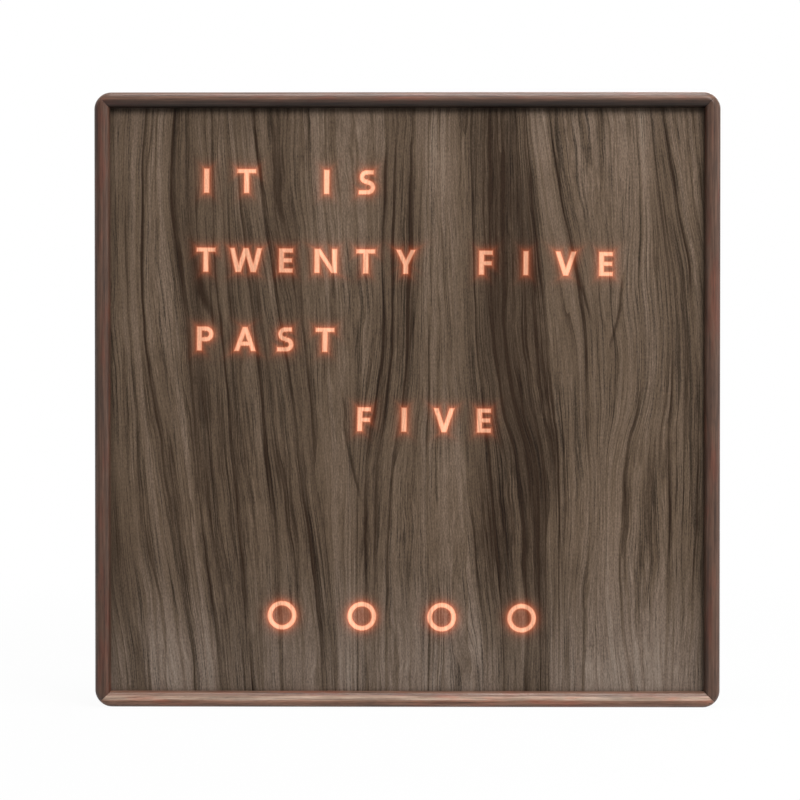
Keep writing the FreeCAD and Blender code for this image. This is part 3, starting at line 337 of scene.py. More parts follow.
# %% Lay the floor
bpy.ops.object.select_all(action="DESELECT")
bpy.ops.mesh.primitive_plane_add(size=6.0, location=(middle.x, middle.y, case_low.z - 0.2 * MM))
floor = bpy.context.object
floor.name = "floor"
bpy.ops.object.transform_apply(location=True, rotation=True, scale=True)
floor_look = Finish("floor_white", roughness=0.9, specular=0.0, colour=(0.6, 0.6, 0.6))
FLOOR_WHITE = 0.96
SHADOW_ENDS = (350.0, 900.0)
ray = floor_look.tree.nodes.new("ShaderNodeLightPath")
camera_ray, glossy_ray, glass_ray = [
    Field(floor_look.tree, ray.outputs[kind])
    for kind in ("Is Camera Ray", "Is Glossy Ray", "Is Transmission Ray")
]
aside = floor_look.x - middle.x / MM
behind = floor_look.y - middle.y / MM
away = (aside * aside + behind * behind) ** 0.5
share = camera_ray.most(glossy_ray).most(glass_ray) * away.step(*SHADOW_ENDS, FLOOR_WHITE, 1.0)
lit_floor = Field(floor_look.tree, floor_look.shader.outputs[0])
white_floor = share.made("ShaderNodeEmission")
both = share.made("ShaderNodeMixShader", None, {0: share, 1: lit_floor, 2: white_floor})
floor_look.tree.links.new(both.socket, floor_look.tree.nodes["Material Output"].inputs["Surface"])
floor.data.materials.append(floor_look.material)
print("floor at z", round(case_low.z, 4))

# %% [markdown]
# Walnut veneer has vertical grain: broad light and dark bands, thin dark growth lines, and fine
# fibres. A plain stretched noise looks like curtains. Here the place across the sheet is first
# bent into a growth coordinate, so that lines lean and draw together as they do where the saw
# met a branch. All bands and lines are then functions of that coordinate.

# %% Grow the veneer
veneer = Finish("walnut_veneer", roughness=0.6, specular=0.1)
across = veneer.x - middle.x / MM
up = veneer.z - middle.z / MM


def spread(value, low, high):
    """A value between low and high, as a fraction for a curve."""
    return (value - low) * (1 / (high - low))


GUIDES = [
    [(142, -138), (47, -139), (0, -136), (-47, -133), (-95, -129), (-142, -125)],
    [(142, -125), (48, -126), (0, -121), (-58, -112), (-110, -104), (-142, -100)],
    [(142, -112), (91, -113), (38, -106), (0, -103), (-60, -98), (-110, -92), (-142, -89)],
    [(142, -94), (62, -90), (0, -86), (-60, -81), (-142, -74)],
    [(142, -76), (95, -70), (47, -62), (0, -56), (-47, -50), (-95, -43), (-142, -38)],
    [(142, -41), (60, -38), (0, -34), (-50, -29), (-100, -28), (-142, -27)],
    [(142, -11), (115, -10), (69, -11), (33, -12), (0, -15), (-34, -20), (-60, -22), (-142, -23)],
    [(142, 4), (60, 2), (0, -2), (-27, -5), (-80, -9), (-142, -10)],
    [(142, 12), (0, 12), (-142, 11)],
    [(142, 21), (60, 22), (0, 26), (-50, 31), (-100, 36), (-142, 38)],
    [(142, 42), (50, 43), (0, 49), (-27, 56), (-75, 60), (-142, 61)],
    [(142, 66), (95, 74), (50, 83), (0, 86), (-60, 88), (-100, 84), (-142, 83)],
    [(142, 110), (60, 112), (0, 111), (-25, 104), (-60, 101), (-105, 103), (-142, 108)],
    [(142, 122), (105, 128), (50, 137), (0, 140), (-60, 139), (-142, 137)],
]
HALF_SHEET = 147.5
GUIDE_REACH = 3.5
height = (up + HALF_SHEET) * (1 / (2 * HALF_SHEET))


def path_across(points):
    """Where a line through a few points is at this height, in millimetres from the middle."""
    rising = [((z + HALF_SHEET) / (2 * HALF_SHEET), (x + HALF_SHEET) / (2 * HALF_SHEET)) for z, x in sorted(points)]
    return height.curve(rising) * (2 * HALF_SHEET) - HALF_SHEET


weights = shifts = 0.0
for guide in GUIDES:
    place = path_across(guide)
    off = (across - place) * (1 / GUIDE_REACH)
    weight = (off * off + 1.0) ** -1.0
    rest = next(x for z, x in guide if z == 0) if any(z == 0 for z, x in guide) else guide[1][1]
    weights = weight + weights
    shifts = weight * (place - rest) + shifts
drift = (cloud(joined(across * 0.03, 0.0, up * 0.010), 1.0, 2.0) - 0.5) * 7.0
ripple = (cloud(joined(across * 0.10, 3.0, up * 0.035), 1.0, 2.0) - 0.5) * 2.0
growth = across - shifts / weights + drift + ripple

print("growth coordinate from", len(GUIDES), "guides")

# %% [markdown]
# The bands are a profile across the sheet at half height, from 0 for the darkest to 1 for the
# lightest, at places in millimetres from the middle. The growth coordinate carries them up and
# down along the guides.

# %% Light and dark bands
BANDS = [
    (-142, 0.36), (-134, 0.57), (-127, 0.54), (-120, 0.49), (-110, 0.60), (-103, 0.36), (-96, 0.36),
    (-86, 0.40), (-76, 0.50), (-60, 0.41), (-46, 0.42), (-36, 0.62), (-22, 0.53), (-12, 0.38),
    (0, 0.46), (12, 0.56), (24, 0.60), (33, 0.42), (44, 0.34), (49, 0.20), (58, 0.16), (66, 0.36),
    (76, 0.50), (92, 0.53), (106, 0.62), (120, 0.58), (134, 0.48), (142, 0.50),
]
LINES = [
    (-131.0, 1.2, 0.16), (-121.5, 1.1, 0.26), (-103.5, 1.3, 0.26), (-86.0, 1.0, 0.20), (-70.0, 1.6, 0.18),
    (-56.0, 1.1, 0.22), (-47.0, 1.0, 0.18), (-15.0, 1.4, 0.28), (-10.0, 0.9, 0.18), (-2.5, 1.2, 0.24),
    (10.0, 0.8, 0.12), (26.0, 0.9, 0.12), (36.0, 1.1, 0.18), (46.0, 1.2, 0.20), (52.0, 2.2, 0.16),
    (69.0, 1.0, 0.20), (86.0, 1.0, 0.24), (111.5, 0.9, 0.20), (127.0, 1.0, 0.18), (139.0, 1.0, 0.22),
]
bands = spread(growth, -142.0, 142.0).ramp([((place + 142) / 284, grey) for place, grey in BANDS])
line_wander = (cloud(joined(growth * 0.12, 8.0, up * 0.02), 1.0, 2.0) - 0.5) * 2.5
line_strength = cloud(joined(growth * 0.06, 6.0, up * 0.012), 1.0, 2.0).step(0.30, 0.60, 0.35, 1.2)
line_tone = 0.0
for place, width, depth in LINES:
    off = (growth + line_wander - place) * (1 / width)
    off = off.most(off * -2.5)
    line_tone = (off * off * -1.0).exp() * depth * 1.35 + line_tone
line_tone = line_tone * line_strength
print("bands:", len(BANDS), "lines:", len(LINES))

# %% [markdown]
# Some streaks don't run the whole height: the pointed ones where the grain closes into an arch, a
# dark patch at the left, and the foot of the dark band, which spreads to the left. Each is a
# curve with a half width and a depth of tone, and a negative depth is a pale streak.

# %% Streaks that end inside the sheet
STREAKS = [
    (1.0, 0.30, [(2, -31), (-29, -27), (-46, -22.5)]),
    (1.2, 0.30, [(72, 79), (52, 84), (38, 88.5)]),
    (1.1, 0.34, [(60, 104), (40, 101), (28, 98)]),
    (1.0, 0.24, [(62, 92), (44, 93), (34, 95)]),
    (3.2, 0.34, [(60, -100), (48, -97), (36, -92)]),
    (10.0, 0.24, [(-25, 32), (-62, 38), (-100, 43), (-147, 45)]),
    (7.0, -0.14, [(-50, 67), (-80, 67), (-147, 66)]),
]
waver = (cloud(joined(across * 0.05, 6.0, up * 0.05), 1.0, 3.0) - 0.5) * 4.0
streak_tone = 0.0
for width, depth, points in STREAKS:
    off = (across + waver - path_across(points)) * (1 / width)
    off = off.most(off * -2.0)
    foot = min(z for z, x in points)
    head = max(z for z, x in points)
    soft = 4.0 + 3.0 * width
    inside = up.step(foot - soft, foot + soft) * up.step(head + soft, head - soft)
    streak_tone = (off * off * -1.0).exp() * inside * depth + streak_tone
print("streaks:", len(STREAKS))

# %% [markdown]
# Thinner growth lines come from noise: where stretched noise passes through its middle value
# there is a line, and it is long, wavy and never repeats. Fibres are long thin streaks, and pores
# are short dark dashes.

# %% Growth lines, fibres and pores
def growth_lines(field, width):
    """Dark lines where a noise passes through its middle."""
    return abs(field - 0.5).step(0.0, width, 1.0, 0.0)


shades = cloud(joined(growth * 0.16, 0.0, up * 0.0035), 1.0, 4.0, 0.62)
thin_lines = growth_lines(cloud(joined(growth * 0.20, 4.0, up * 0.0040), 1.0, 3.0, 0.6), 0.05)
thin_where = cloud(joined(growth * 0.05, 1.0, up * 0.010), 1.0, 2.0).step(0.38, 0.62)
fine_lines = growth_lines(cloud(joined(growth * 0.55, 7.0, up * 0.006), 1.0, 2.0, 0.6), 0.04)
fine_where = cloud(joined(growth * 0.07, 12.0, up * 0.012), 1.0, 2.0).step(0.38, 0.56)
rings = growth * 0.16 + (cloud(joined(growth * 0.07, 15.0, up * 0.006), 1.0, 2.0) - 0.5) * 4.0
ring_edge = rings.fraction() ** 5.0
ring_where = cloud(joined(growth * 0.06, 18.0, up * 0.010), 1.0, 2.0).step(0.34, 0.62)
lined = cloud(joined(growth * 0.05, 21.0, up * 0.008), 1.0, 2.0).step(0.36, 0.64, 0.6, 1.25)
fibre = (cloud(joined(growth * 1.6, 0.0, up * 0.08), 1.0, 3.0, 0.8) - 0.5) * lined
fleck = cloud(joined(across * 1.7, 17.0, up * 0.8), 1.0, 1.0)
hair = cloud(joined(across * 1.9, 5.0, up * 0.26), 1.0, 2.0, 0.8)
pore = hair.step(0.56, 0.66)
patch = cloud(joined(across * 0.03, 9.0, up * 0.02), 1.0, 2.0)
# Lighter towards the foot and the top of the sheet: partly painted light, partly the wood's own tone.
painted_light_and_tone_at_ends = up.step(-70.0, -140.0, 0.0, 0.22) + up.step(80.0, 140.0, 0.0, 0.11)

tone = bands * 0.9 + (shades - 0.5) * 0.75 + (patch - 0.5) * 0.25 + painted_light_and_tone_at_ends + 0.09
tone = tone - line_tone - thin_lines * thin_where * 0.22 - streak_tone + fibre * 0.45
tone = tone - ring_edge * ring_where * 0.24
grain = 1.0 + fibre + (hair - 0.5) * 0.95 + (fleck - 0.5) * 0.9
grain = grain - pore * 0.12 - fine_lines * fine_where * 0.55
grain = grain.most(0.3)
WALNUT = [
    (0.0, (0.028, 0.015, 0.008)),
    (0.2, (0.058, 0.037, 0.023)),
    (0.5, (0.114, 0.077, 0.050)),
    (0.8, (0.178, 0.125, 0.089)),
    (1.0, (0.236, 0.175, 0.129)),
]
RAIL_SHOWN = 7.5
tone = tone * 1.3 - 0.155
wood_colour = tone.ramp(WALNUT).with_colour(1.0, grain, "MULTIPLY")
# Painted shadow beside the rails, deepest under the top rail: for each side, how light the sheet is painted at its
# very edge, and how far in from the edge, in millimetres, that ends.
EDGES = [(case_high.z / MM - veneer.z, 0.38, 5.0), (case_high.x / MM - veneer.x, 0.62, 4.5),
         (veneer.x - case_low.x / MM, 0.78, 5.0), (veneer.z - case_low.z / MM, 0.85, 2.0)]
for from_side, painted_shadow_light, reach in EDGES:
    shade = from_side.step(RAIL_SHOWN, RAIL_SHOWN + reach, painted_shadow_light, 1.0)
    wood_colour = wood_colour.with_colour(1.0, shade, "MULTIPLY")
# Nearer the floor the sheet is a little greyer: partly painted sheen, partly the wood's own colour.
greyer_near_floor = up.step(-50.0, -140.0)
wood_colour = wood_colour.with_colour(greyer_near_floor, (0.97, 1.02, 1.10, 1.0), "MULTIPLY")
veneer.feed("Base Color", wood_colour)
veneer.feed("Roughness", tone.step(0.0, 1.0, 0.66, 0.54))
veneer.bump(grain, 0.05, 0.5)
print("veneer nodes so far:", len(veneer.tree.nodes))

# %% [markdown]
# Behind the veneer a black film is cut through in the shape of each letter, and a lamp sits behind each. The thin
# wood passes warm light there, and spreads a red haze along its surface, wider across the fibres than along them.
# Here that light is painted on the veneer as glow. Each letter is a few strokes, and a stroke gives the distance to
# its outline, so one field holds the core and the haze of all lit letters.

# %% Letters as strokes
LETTER_HEIGHT = 11.6
TENTH = LETTER_HEIGHT / 10
STEM = 2.15
SLANT = 2.05
BAR = 1.75
BOW = 1.85
BOW_LAP = 0.6
TALL = 10.0
# Strokes of each letter in tenths of its height, as made in the film: a bar has its left,
# bottom, right and top; a slant its foot and its head; a bow its centre, its radius and 1 for
# a bow open to the left or -1 for one open to the right.
LETTERS = {
    "A": (9.2, [("slant", 1.1, 0, 4.6, 10), ("slant", 8.1, 0, 4.6, 10), ("bar", 2.2, 2.2, 7.0, 3.95)]),
    "E": (5.8, [("bar", 0, 0, STEM, TALL), ("bar", 1, 0, 5.8, BAR), ("bar", 1, 4.2, 5.5, 4.2 + BAR),
                ("bar", 1, TALL - BAR, 5.8, TALL)]),
    "F": (5.6, [("bar", 0, 0, STEM, TALL), ("bar", 1, 3.9, 5.3, 3.9 + BAR),
                ("bar", 1, TALL - BAR, 5.6, TALL)]),
    "I": (STEM, [("bar", 0, 0, STEM, TALL)]),
    "N": (9.3, [("bar", 0, 0, STEM, TALL), ("bar", 9.3 - STEM, 0, 9.3, TALL), ("slant", 8.0, 0, 1.3, 10)]),
    "P": (6.9, [("bar", 0, 0, STEM, TALL), ("bar", 1, TALL - BAR, 3.9, TALL), ("bar", 1, 3.8, 3.9, 3.8 + BAR),
                ("bow", 3.8, 6.9, 3.1, 1)]),
    "S": (7.0, [("bow", 3.5, 7.15, 2.85, -1), ("bar", 3.4, TALL - BAR, 6.4, TALL),
                ("bar", 3.4, 4.25, 4.2, 5.85), ("bow", 4.1, 2.9, 2.9, 1), ("bar", 0.2, 0, 4.2, BAR)]),
    "T": (7.8, [("bar", 3.9 - STEM / 2, 0, 3.9 + STEM / 2, TALL), ("bar", 0, TALL - BAR, 7.8, TALL)]),
    "V": (8.8, [("slant", 4.4, 0, 1.1, 10), ("slant", 4.4, 0, 7.7, 10)]),
    "W": (13.6, [("slant", 3.6, 0, 1.1, 10), ("slant", 3.7, 0, 6.8, 10), ("slant", 9.9, 0, 6.8, 10),
                 ("slant", 10.0, 0, 12.5, 10)]),
    "Y": (8.2, [("slant", 4.1, 3.6, 1.1, 10), ("slant", 4.1, 3.6, 7.1, 10),
                ("bar", 4.1 - STEM / 2, 0, 4.1 + STEM / 2, 4.4)]),
}
LIT_WORDS = [(0, 0, "IT"), (0, 3, "IS"), (2, 0, "TWENTY"), (2, 7, "FIVE"), (4, 0, "PAST"), (6, 4, "FIVE")]
RING_ROW = 11
RING_COLUMNS = (2, 4, 6, 8)
RING_RADIUS = 5.8
RING_HALF_WIDTH = 1.1
COLUMN_PITCH = 19.2
ROW_PITCH = 18.95
GRID_TURN = math.radians(0.65)
GRID_SHIFT = -1.4
print("lit letters:", sum(len(word) for _, _, word in LIT_WORDS))

# %% Distance to the lit outlines
turned_x = (across - GRID_SHIFT) * math.cos(GRID_TURN) - up * math.sin(GRID_TURN)
turned_z = (across - GRID_SHIFT) * math.sin(GRID_TURN) + up * math.cos(GRID_TURN)


def from_stroke(x, z, stroke):
    """How far a place is outside one stroke in millimetres, and less than 0 inside it."""
    if stroke[0] == "bow":
        _, centre_x, centre_z, radius, side = stroke
        right = x - centre_x * TENTH
        above = z - centre_z * TENTH
        reach = (right * right + above * above) ** 0.5
        off = abs(reach - (radius - BOW / 2) * TENTH) - BOW / 2 * TENTH
        return off.most(right * -side - BOW_LAP * TENTH)
    kind, x0, z0, x1, z1 = stroke
    right = x - (x0 + x1) / 2 * TENTH
    above = z - (z0 + z1) / 2 * TENTH
    beyond = abs(above) - abs(z1 - z0) / 2 * TENTH
    if kind == "bar":
        return (abs(right) - (x1 - x0) / 2 * TENTH).most(beyond)
    slope = (x1 - x0) / (z1 - z0)
    upright = math.cos(math.atan(slope))
    return ((abs(right - above * slope) - SLANT / 2 * TENTH) * upright).most(beyond)


outside = None
for row, column, word in LIT_WORDS:
    for index, letter in enumerate(word):
        width, strokes = LETTERS[letter]
        x = turned_x - ((column + index - 5) * COLUMN_PITCH - width / 2 * TENTH)
        z = turned_z - ((5.5 - row) * ROW_PITCH - LETTER_HEIGHT / 2)
        for stroke in strokes:
            off = from_stroke(x, z, stroke)
            outside = off if outside is None else outside.least(off)
ring_middle = None
for column in RING_COLUMNS:
    right = turned_x - (column - 5) * COLUMN_PITCH
    above = turned_z - (5.5 - RING_ROW) * ROW_PITCH
    reach = (right * right + above * above) ** 0.5
    ring_middle = reach if ring_middle is None else ring_middle.least(reach)
outside = outside.least(abs(ring_middle - RING_RADIUS) - RING_HALF_WIDTH)
print("veneer nodes with letters:", len(veneer.tree.nodes))

# %% [markdown]
# The letters' glow is painted light: the veneer itself emits it, in place of the lamps behind it. Wood passes red
# light best. So the middle of a stroke is pale orange, its edge is redder, and a red haze reaches a millimetre or
# two beyond it. The grain shows in all of them, because light wood passes more than dark growth lines.

# %% Glow through the wood
HAZE_REACH = 1.35
haze = (outside.most(0.0) * (-1 / HAZE_REACH)).exp() + ring_middle.step(RING_RADIUS, 0.0) * 0.4
passing = (tone * 0.6 + grain * 0.3).step(0.25, 0.85, 0.70, 1.16)
# For each of red, green and blue: the haze at the outline, the light in the middle of a stroke,
# and how far inside the outline that light is full.
GLOW = [(0.34, 0.66, 0.30), (0.060, 0.41, 0.50), (0.018, 0.27, 0.55)]
channels = [(haze * edge + outside.step(0.28, -inner, 0.0, full)) * passing for edge, full, inner in GLOW]
lit = veneer.x.made("ShaderNodeCombineColor", None, dict(enumerate(channels)))
# Painted glow: the letters' light is emission on the veneer.
veneer.feed("Emission Color", lit)
veneer.set("Emission Strength", 1.0)
dress(["face_veneer"], veneer)

# %% [markdown]
# The four rails are one profile: a bar with a rounded inner edge and a groove for the face,
# cut to 45 degrees at both ends. Once they are glued up, the outer corners and edges are
# rounded over in one go. Here that last step is a block with rounded corners and edges, and each
# bar is cut to what it shares with that block.

# %% Helpers for modelling by hand
def begin(kind, **options):
    """Add a primitive with nothing else selected, and go into edit mode on it."""
    if bpy.context.object and bpy.context.object.mode != "OBJECT":
        bpy.ops.object.mode_set(mode="OBJECT")
    bpy.ops.object.select_all(action="DESELECT")
    getattr(bpy.ops.mesh, f"primitive_{kind}_add")(**options)
    piece = bpy.context.object
    bpy.ops.object.transform_apply(location=True, rotation=True, scale=True)
    bpy.ops.object.mode_set(mode="EDIT")
    return piece


def pick(kind, test):
    """Select the faces, edges or vertices of the edited mesh for which the test is true."""
    bpy.ops.mesh.select_mode(type={"faces": "FACE", "edges": "EDGE", "verts": "VERT"}[kind])
    bpy.ops.mesh.select_all(action="DESELECT")
    mesh = bmesh.from_edit_mesh(bpy.context.object.data)
    for item in getattr(mesh, kind):
        if test(item):
            item.select = True
    mesh.select_flush_mode()
    count = sum(item.select for item in getattr(mesh, kind))
    bmesh.update_edit_mesh(bpy.context.object.data)
    return count


def close_to(a, b, within=0.02 * MM):
    return abs(a - b) < within


def box_piece(name, low, high):
    """A box between two corners, in edit mode."""
    size = high - low
    piece = begin("cube", size=1.0, location=(low + high) / 2, scale=size)
    piece.name = name
    return piece


def leave(piece, angle=30.0):
    """Go back to object mode with smooth shading and tidy normals."""
    bpy.ops.object.mode_set(mode="OBJECT")
    bpy.ops.object.select_all(action="DESELECT")
    piece.select_set(True)
    bpy.context.view_layer.objects.active = piece
    bpy.ops.object.shade_smooth_by_angle(angle=math.radians(angle))
    return piece


def apply_modifier(piece, kind, **settings):
    """Add one modifier, set it and apply it."""
    bpy.ops.object.select_all(action="DESELECT")
    piece.select_set(True)
    bpy.context.view_layer.objects.active = piece
    modifier = piece.modifiers.new(kind.lower(), kind)
    for name, value in settings.items():
        setattr(modifier, name, value)
    bpy.ops.object.modifier_apply(modifier=modifier.name)


print("modelling helpers ready")

# %% The rounded block
CORNER_ROUND = 8.2 * MM
FRONT_ROUND = 3.5 * MM
INNER_ROUND = 3.5 * MM
BACK_ROUND = 1.0 * MM
RAIL_WIDTH = 7.5 * MM
GROOVE_DEEP = 3.0 * MM
GROOVE_FRONT = veneer_low.y
GROOVE_BACK = GROOVE_FRONT + 3.0 * MM

block = box_piece("rounded_block", case_low, case_high)
pick("edges", lambda e: abs((e.verts[0].co - e.verts[1].co).normalized().y) > 0.99)
bpy.ops.mesh.bevel(offset=CORNER_ROUND, segments=16, affect="EDGES")
pick("edges", lambda e: all(close_to(v.co.y, case_low.y) for v in e.verts))
bpy.ops.mesh.bevel(offset=FRONT_ROUND, segments=10, affect="EDGES")
pick("edges", lambda e: all(close_to(v.co.y, case_high.y) for v in e.verts))
bpy.ops.mesh.bevel(offset=BACK_ROUND, segments=4, affect="EDGES")
bpy.ops.object.mode_set(mode="OBJECT")
print("rounded block faces:", len(block.data.polygons))

# %% One rail, made four times
MITRE_EASE = 0.13 * MM


def rail(name, side, along):
    """A mitred bar on one side of the frame. side is its outward direction."""
    length = Vector((abs(along.x), 0, abs(along.z)))
    outer = Vector((case_high.x if side.x > 0 else case_low.x, 0, case_high.z if side.z > 0 else case_low.z))
    low = Vector(case_low)
    high = Vector(case_high)
    axis = 0 if side.x else 2
    if side[axis] > 0:
        low[axis] = outer[axis] - RAIL_WIDTH
    else:
        high[axis] = outer[axis] + RAIL_WIDTH
    inner = low[axis] if side[axis] > 0 else high[axis]
    piece = box_piece(name, low, high)
    pick("edges", lambda e: all(close_to(v.co.y, case_low.y) and close_to(v.co[axis], inner) for v in e.verts))
    bpy.ops.mesh.bevel(offset=INNER_ROUND, segments=10, affect="EDGES")
    for depth in (GROOVE_FRONT, GROOVE_BACK):
        bpy.ops.mesh.select_all(action="SELECT")
        bpy.ops.mesh.bisect(plane_co=(0, depth, 0), plane_no=(0, 1, 0))
    middle_y = (GROOVE_FRONT + GROOVE_BACK) / 2
    pick("faces", lambda f: close_to(f.calc_center_median()[axis], inner) and close_to(f.calc_center_median().y, middle_y, MM))
    bpy.ops.mesh.extrude_region_move(TRANSFORM_OT_translate={"value": side * GROOVE_DEEP})
    for end in (-1, 1):
        corner = Vector((middle.x, 0, middle.z))
        corner[axis] = outer[axis]
        other = 2 - axis
        corner[other] = (case_high if end > 0 else case_low)[other]
        normal = Vector((0, 0, 0))
        normal[axis] = -side[axis]
        normal[other] = end
        bpy.ops.mesh.select_all(action="SELECT")
        bpy.ops.mesh.bisect(plane_co=corner, plane_no=normal, use_fill=True, clear_outer=True)
    bpy.ops.object.mode_set(mode="OBJECT")
    apply_modifier(piece, "BOOLEAN", operation="INTERSECT", object=block, solver="EXACT")
    bpy.ops.object.mode_set(mode="EDIT")
    bpy.ops.mesh.select_all(action="SELECT")
    bpy.ops.mesh.remove_doubles(threshold=0.002 * MM)
    bpy.ops.mesh.dissolve_limited(angle_limit=math.radians(0.5))

    def on_mitre(edge):
        flat = [f for f in edge.link_faces if close_to(abs(f.normal.x), abs(f.normal.z), 0.01) and abs(f.normal.y) < 0.01 and f.calc_area() > 20 * MM * MM]
        return len(flat) == 1

    print(name, "mitre edges", pick("edges", on_mitre))
    bpy.ops.mesh.bevel(offset=MITRE_EASE, segments=2, affect="EDGES", clamp_overlap=True)
    leave(piece)
    apply_modifier(piece, "WEIGHTED_NORMAL", keep_sharp=True, weight=80)
    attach(piece, "case")
    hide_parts(name.replace("walnut_", ""))
    return piece


RAIL_SIDES = {
    "walnut_rail_top": (Vector((0, 0, 1)), Vector((1, 0, 0))),
    "walnut_rail_bottom": (Vector((0, 0, -1)), Vector((1, 0, 0))),
    "walnut_rail_left": (Vector((-1, 0, 0)), Vector((0, 0, 1))),
    "walnut_rail_right": (Vector((1, 0, 0)), Vector((0, 0, 1))),
}
rails = {name: rail(name, side, along) for name, (side, along) in RAIL_SIDES.items()}

# %% The cable notch
NOTCH_CENTRE = 24.0 * MM
NOTCH_HALF = 4.0 * MM
NOTCH_FRONT = 15.0 * MM
notch = box_piece(
    "notch_cutter",
    Vector((NOTCH_CENTRE - NOTCH_HALF, NOTCH_FRONT, case_low.z - 2 * MM)),
    Vector((NOTCH_CENTRE + NOTCH_HALF, case_high.y + 4 * MM, case_low.z + RAIL_WIDTH + 2 * MM)),
)
bpy.ops.object.mode_set(mode="OBJECT")
apply_modifier(rails["walnut_rail_bottom"], "BOOLEAN", operation="DIFFERENCE", object=notch, solver="EXACT")
for cutter in (notch, block):
    bpy.data.objects.remove(cutter, do_unlink=True)
print("bottom rail faces:", len(rails["walnut_rail_bottom"].data.polygons))

# %% [markdown]
# The back is where the clock is hung and set. Its cover is a black hardboard plate with four round
# openings, two walnut blocks on it carry zinc keyhole plates, and pan-headed screws hold them
# all. Cutters make the openings, and a small bevel on each rim catches the light.

# %% Helpers for cutting
def cut(piece, cutter):
    """Take a cutter out of a piece, then throw the cutter away."""
    bpy.ops.object.mode_set(mode="OBJECT")
    apply_modifier(piece, "BOOLEAN", operation="DIFFERENCE", object=cutter, solver="EXACT")
    bpy.data.objects.remove(cutter, do_unlink=True)


def rod(radius, low_y, high_y, x, z, sides=48):
    """A round bar along y, in edit mode; all its sizes are in millimetres."""
    centre = Vector((x, (low_y + high_y) / 2, z)) * MM
    turn = (math.radians(90), 0, 0)
    return begin("cylinder", vertices=sides, radius=radius * MM, depth=(high_y - low_y) * MM,
                 location=centre, rotation=turn)


def slab(name, x, z, width, height, low_y, high_y):
    """A flat box centred on x and z, in edit mode; all its sizes are in millimetres."""
    low = Vector((x - width / 2, low_y, z - height / 2)) * MM
    high = Vector((x + width / 2, high_y, z + height / 2)) * MM
    return box_piece(name, low, high)


def ease_rims(piece, at_y, size, segments=2):
    """Bevel the edges where the flat face at one depth turns into walls."""
    bpy.context.view_layer.objects.active = piece
    bpy.ops.object.mode_set(mode="EDIT")

    def rim(edge):
        flat = all(close_to(v.co.y, at_y * MM) for v in edge.verts)
        return flat and len(edge.link_faces) == 2 and edge.calc_face_angle() > math.radians(30)

    count = pick("edges", rim)
    bpy.ops.mesh.bevel(offset=size * MM, segments=segments, affect="EDGES", clamp_overlap=True)
    return count


def settle(piece, node, finish):
    """Give a finished piece its even shading, its material in a slot of its own and its body, and hide the CAD part
    it replaces.
    """
    leave(piece)
    apply_modifier(piece, "WEIGHTED_NORMAL", keep_sharp=True, weight=80)
    piece.data.materials.clear()
    piece.data.materials.append(finish.material)
    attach(piece, "case")
    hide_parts(node)
    print(piece.name, "faces:", len(piece.data.polygons))


print("cutting helpers ready")

# %% The back cover
COVER_LOW = 7.0
COVER_REAR = 10.0
CONTROL_Z = 55.5
BUTTON_PLACES = (-22.0, -8.0, 6.0)
JACK_PLACE = 24.0
BUTTON_HOLE = 3.8
JACK_HOLE = 4.7
cover_low, cover_high = (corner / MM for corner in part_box("back_cover"))
cover = slab("hardboard_cover", (cover_low.x + cover_high.x) / 2, (cover_low.z + cover_high.z) / 2,
             cover_high.x - cover_low.x, cover_high.z - cover_low.z, COVER_LOW, COVER_REAR)
for x, radius in [(x, BUTTON_HOLE) for x in BUTTON_PLACES] + [(JACK_PLACE, JACK_HOLE)]:
    cut(cover, rod(radius, COVER_LOW - 1, COVER_REAR + 1, x, CONTROL_Z))
print("cover rims:", ease_rims(cover, COVER_REAR, 0.45, 3))

# %% Hanger blocks and keyhole plates
HANGER_PLACES = {"left": -80.0, "right": 80.0}
HANGER_Z = 239.5
PLATE_LOW = 18.9
PLATE_REAR = 20.4
KEYHOLE_Z = 234.5
KEYHOLE_ENTRY = 5.0
KEYHOLE_SLOT = 2.2
KEYHOLE_RISE = 9.0
blocks = {}
plates = {}
for side, x in HANGER_PLACES.items():
    pad = slab(f"walnut_block_{side}", x, HANGER_Z, 34.0, 48.0, COVER_REAR, PLATE_LOW)
    bpy.ops.object.mode_set(mode="OBJECT")
    ease_rims(pad, PLATE_LOW, 1.0, 3)
    cut(pad, slab("pocket", x, HANGER_Z, 16.0, 26.0, PLATE_LOW - 6.5, PLATE_LOW + 1))
    plate = slab(f"keyhole_plate_{side}", x, HANGER_Z, 28.0, 44.0, PLATE_LOW, PLATE_REAR)
    pick("edges", lambda e: abs((e.verts[0].co - e.verts[1].co).normalized().y) > 0.99)
    bpy.ops.mesh.bevel(offset=4.0 * MM, segments=10, affect="EDGES")
    cut(plate, rod(KEYHOLE_ENTRY, PLATE_LOW - 1, PLATE_REAR + 1, x, KEYHOLE_Z))
    slot_z = KEYHOLE_Z + KEYHOLE_RISE / 2
    cut(plate, slab("slot", x, slot_z, 2 * KEYHOLE_SLOT, KEYHOLE_RISE, PLATE_LOW - 1, PLATE_REAR + 1))
    cut(plate, rod(KEYHOLE_SLOT, PLATE_LOW - 1, PLATE_REAR + 1, x, KEYHOLE_Z + KEYHOLE_RISE))
    print("plate rims:", ease_rims(plate, PLATE_REAR, 0.3, 3))
    blocks[side] = pad
    plates[side] = plate

# %% [markdown]
# Each screw is turned from a cylinder. The rim of its head is bevelled to a low dome, the face
# under the head is inset and extruded to a shank with a point, and two crossed wedges cut the
# recess for the driver. The others are copies, each with its own mesh and turned a little.

